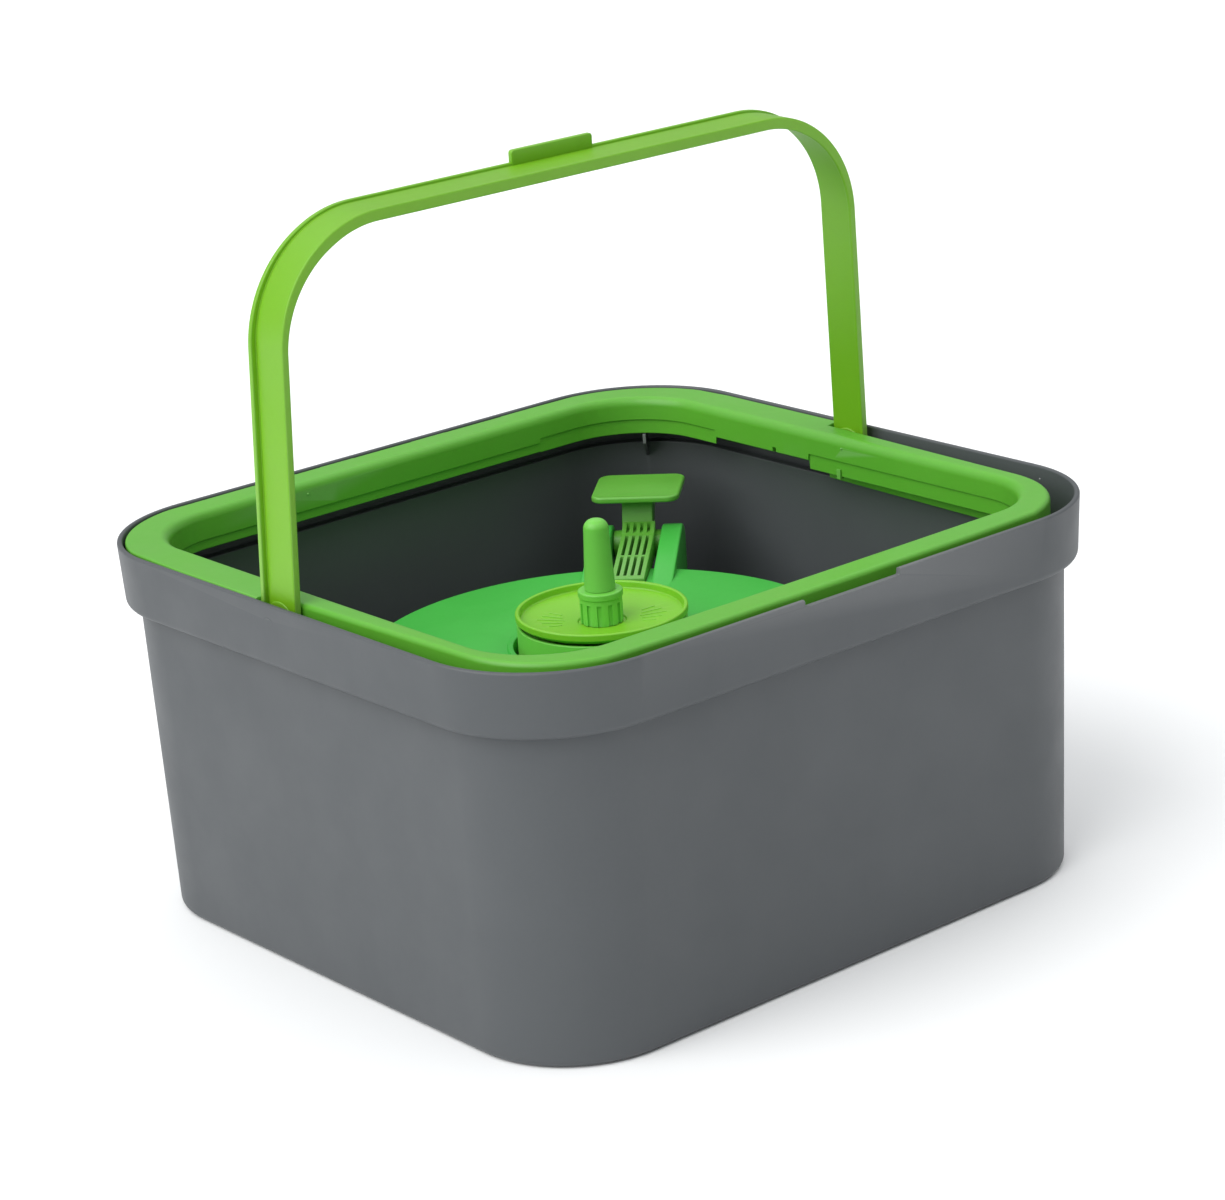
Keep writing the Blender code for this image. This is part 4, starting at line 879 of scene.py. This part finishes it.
def make_mop_post():
    bore, tip, shoulder = BORE_RADIUS, 5.0 * MM, 6.4 * MM
    foot, socket_top = 139.2 * MM, 151.5 * MM
    centre = (shoulder - tip, POST_TOP - tip)
    profile = fillet([
        (0, socket_top), (bore, socket_top, 0.3 * MM), (bore, foot), (SPIGOT, foot),
        (SPIGOT, COLLAR_TOP + GAP), (7.9 * MM, COLLAR_TOP + GAP, 0.4 * MM),
    ], steps=3, closed=False) + arc(centre, tip, 2, 88, 14) + [(0, POST_TOP - 0.02 * MM)]
    post = turned("post_rod", profile, POST, 96)
    finish_shading(post)
    mount(post, "spinner", "inner_green_plastic", "mop_post")


# Pedal

def rib_gaps():
    """The slots between the arm's ribs, left joined by cross ties."""
    gaps = []
    through = -12 * MM
    runs = ((-59 * MM, -36 * MM, through), (-34.4 * MM, -10.5 * MM, through),
            (-8.8 * MM, -1.2 * MM, 8.5 * MM))
    for k in range(4):
        middle = ARM_MIDDLE + (k - 1.5) * RIB_PITCH
        for start, stop, low in runs:
            outline = fillet([(*corner, 0.4 * MM) for corner in
                              rectangle((start, middle - RIB_GAP / 2), (stop, middle + RIB_GAP / 2))], 3)
            gaps.append(at_pedal(prism("gap", outline, low, 16 * MM)))
    return gaps


def make_pedal_lever():
    end = 98 * MM - HUB_OUT
    arm = fillet([(0, 12.9 * MM), (-9 * MM, 8 * MM, 6 * MM), (end, 0.3 * MM, 1.2 * MM),
                  (end, -6 * MM, 0.8 * MM), (-2 * MM, -5 * MM)])
    stem_top = PAD_TOP - PAD_THICK - GAP
    stem = fillet([(-3 * MM, 3 * MM), (5 * MM, 3 * MM), (18 * MM, 20.5 * MM, 8 * MM), (20 * MM, stem_top),
                   (6 * MM, stem_top), (2 * MM, 17 * MM, 6 * MM)])
    finger = rectangle((-1.7 * MM, -FINGER_LENGTH), (1.7 * MM, -5 * MM))
    hub = soften(prism("lever_body", circle(HUB_RADIUS, 64), -HUB_HALF, HUB_HALF, "Y", PEDAL), 0.6 * MM, 3)
    parts = [soften(prism("arm", arm, ARM_MIDDLE - ARM_HALF, ARM_MIDDLE + ARM_HALF, "Y"), 0.5 * MM, 3),
             soften(prism("stem", stem, -STEM_HALF, STEM_HALF, "Y"), 0.7 * MM, 3),
             soften(prism("finger", finger, -3.2 * MM, 3.2 * MM, "Y"), 0.3 * MM, 2),
             prism("roller", circle(2.5 * MM, 32, (0, -FINGER_LENGTH)), -3.4 * MM, 3.4 * MM, "Y")]
    join(hub, *parts)
    at_pedal(hub)
    cutters = [
        at_pedal(prism("bore", circle(PIN_BORE, 32), -15 * MM, 15 * MM, "Y")),
        at_pedal(prism("spring_room", circle(5.3 * MM, 48), 9.5 * MM, 15 * MM, "Y")),
    ]
    cut(hub, *rib_gaps(), *cutters)
    finish_shading(hub)
    mount(hub, "pedal", "green_plastic", "pedal_lever")


def make_pedal_pad():
    """The pad, with rounded corners and edges and a shallow crown."""
    bm = bmesh.new()
    low = PAD_TOP - PAD_THICK
    edge = 1.1 * MM
    section = [(8.0 * MM, 0.0)] + arc((edge, edge), edge, 270, 180, 5)
    section += arc((edge + 0.2 * MM, 2.1 * MM), edge + 0.2 * MM, 180, 90, 6)
    section += [(3.2 * MM, 3.1 * MM), (6 * MM, 3.0 * MM), (12 * MM, 3.0 * MM), (18 * MM, 3.0 * MM)]
    rings = []
    for inset, rise in section:
        corner = max(7 * MM - inset, 1.5 * MM)
        outline = rounded_rectangle(PAD_LONG / 2 - inset, PAD_WIDE / 2 - inset, corner, 10)
        rings.append([(x + PAD_OUT, y, low + min(rise, PAD_THICK)) for x, y in outline])
    loft(bm, rings)
    pad = piece("pad_plate", bm, PEDAL)
    at_pedal(pad)
    finish_shading(pad)
    mount(pad, "pedal", "green_plastic", "pedal_pad")


def dress_cad_nodes():
    """Materials for the CAD nodes that stay as they are."""
    looks = {"steel": STEEL, "drive_plastic": NATURAL, "seal_rubber": BLACK, "grey_plastic": GREY,
             "green_plastic": LIME, "inner_green_plastic": LEAF, "disc_plastic": DISC}
    slots = {part["node"]: part["material_slot"] for part in frame["record"]["subparts"]}
    for name, obj in frame["nodes"].items():
        obj.data.materials.clear()
        obj.data.materials.append(looks[slots[name]])


# Stage

def camera_axes(azimuth, elevation, roll):
    back = Vector((sin(azimuth) * cos(elevation), -cos(azimuth) * cos(elevation), sin(elevation)))
    right = Vector((cos(azimuth), sin(azimuth), 0))
    up = back.cross(right)
    rolled_right = right * cos(roll) + up * sin(roll)
    rolled_up = up * cos(roll) - right * sin(roll)
    return Matrix((rolled_right, rolled_up, back)).transposed()


def make_camera():
    data = bpy.data.cameras.new("camera")
    data.sensor_width = CAMERA_SENSOR
    data.lens = CAMERA_LENS
    camera = bpy.data.objects.new("camera", data)
    bpy.context.scene.collection.objects.link(camera)
    turn = camera_axes(CAMERA_AZIMUTH, CAMERA_ELEVATION, CAMERA_ROLL).to_4x4()
    camera.matrix_world = Matrix.Translation(CAMERA_PLACE) @ turn
    data.clip_start, data.clip_end = 0.05, 100
    bpy.context.scene.camera = camera


def soft_sun(name, direction, strength, spread, colour=(1, 1, 1)):
    """A distant light as wide as a studio soft box, shining from a direction."""
    data = bpy.data.lights.new(name, "SUN")
    data.energy = strength
    data.angle = radians(spread)
    data.color = colour
    light = bpy.data.objects.new(name, data)
    bpy.context.scene.collection.objects.link(light)
    light.rotation_mode = "QUATERNION"
    light.rotation_quaternion = (-Vector(direction).normalized()).to_track_quat("-Z", "Y")


def make_stage():
    bm = bmesh.new()
    bmesh.ops.create_circle(bm, cap_ends=True, segments=96, radius=FLOOR_RADIUS)
    floor = piece("floor", bm)
    floor.location.z = FLOOR_HEIGHT
    nodes = Nodes("pale floor")
    patches = nodes.span(nodes.noise(1.5, 2), 0, 1)
    nodes.link(nodes.mix(patches, (0.90, 0.91, 0.92), (0.92, 0.93, 0.935)), "Base Color")
    nodes.shader.inputs["Roughness"].default_value = 0.85
    nodes.shader.inputs["Specular IOR Level"].default_value = 0.15
    floor.data.materials.append(nodes.material)
    world = bpy.data.worlds.new("studio")
    world.use_nodes = True
    background = world.node_tree.nodes["Background"]
    background.inputs["Color"].default_value = WORLD_COLOUR
    background.inputs["Strength"].default_value = WORLD_STRENGTH
    bpy.context.scene.world = world
    soft_sun("key", (-1.0, 0.06, 0.82), 2.2, 60, (1.0, 0.997, 0.985))
    soft_sun("top", (0.05, 0.05, 1.0), 1.6, 100)
    bpy.context.scene.view_settings.view_transform = "Standard"


make_camera()
make_stage()
dress_cad_nodes()
make_bucket()
make_rim_frame()
make_handle()
make_top_cover()
make_base_casing()
make_spin_disc()
make_spin_drum()
make_post_collar()
make_mop_post()
make_pedal_lever()
make_pedal_pad()
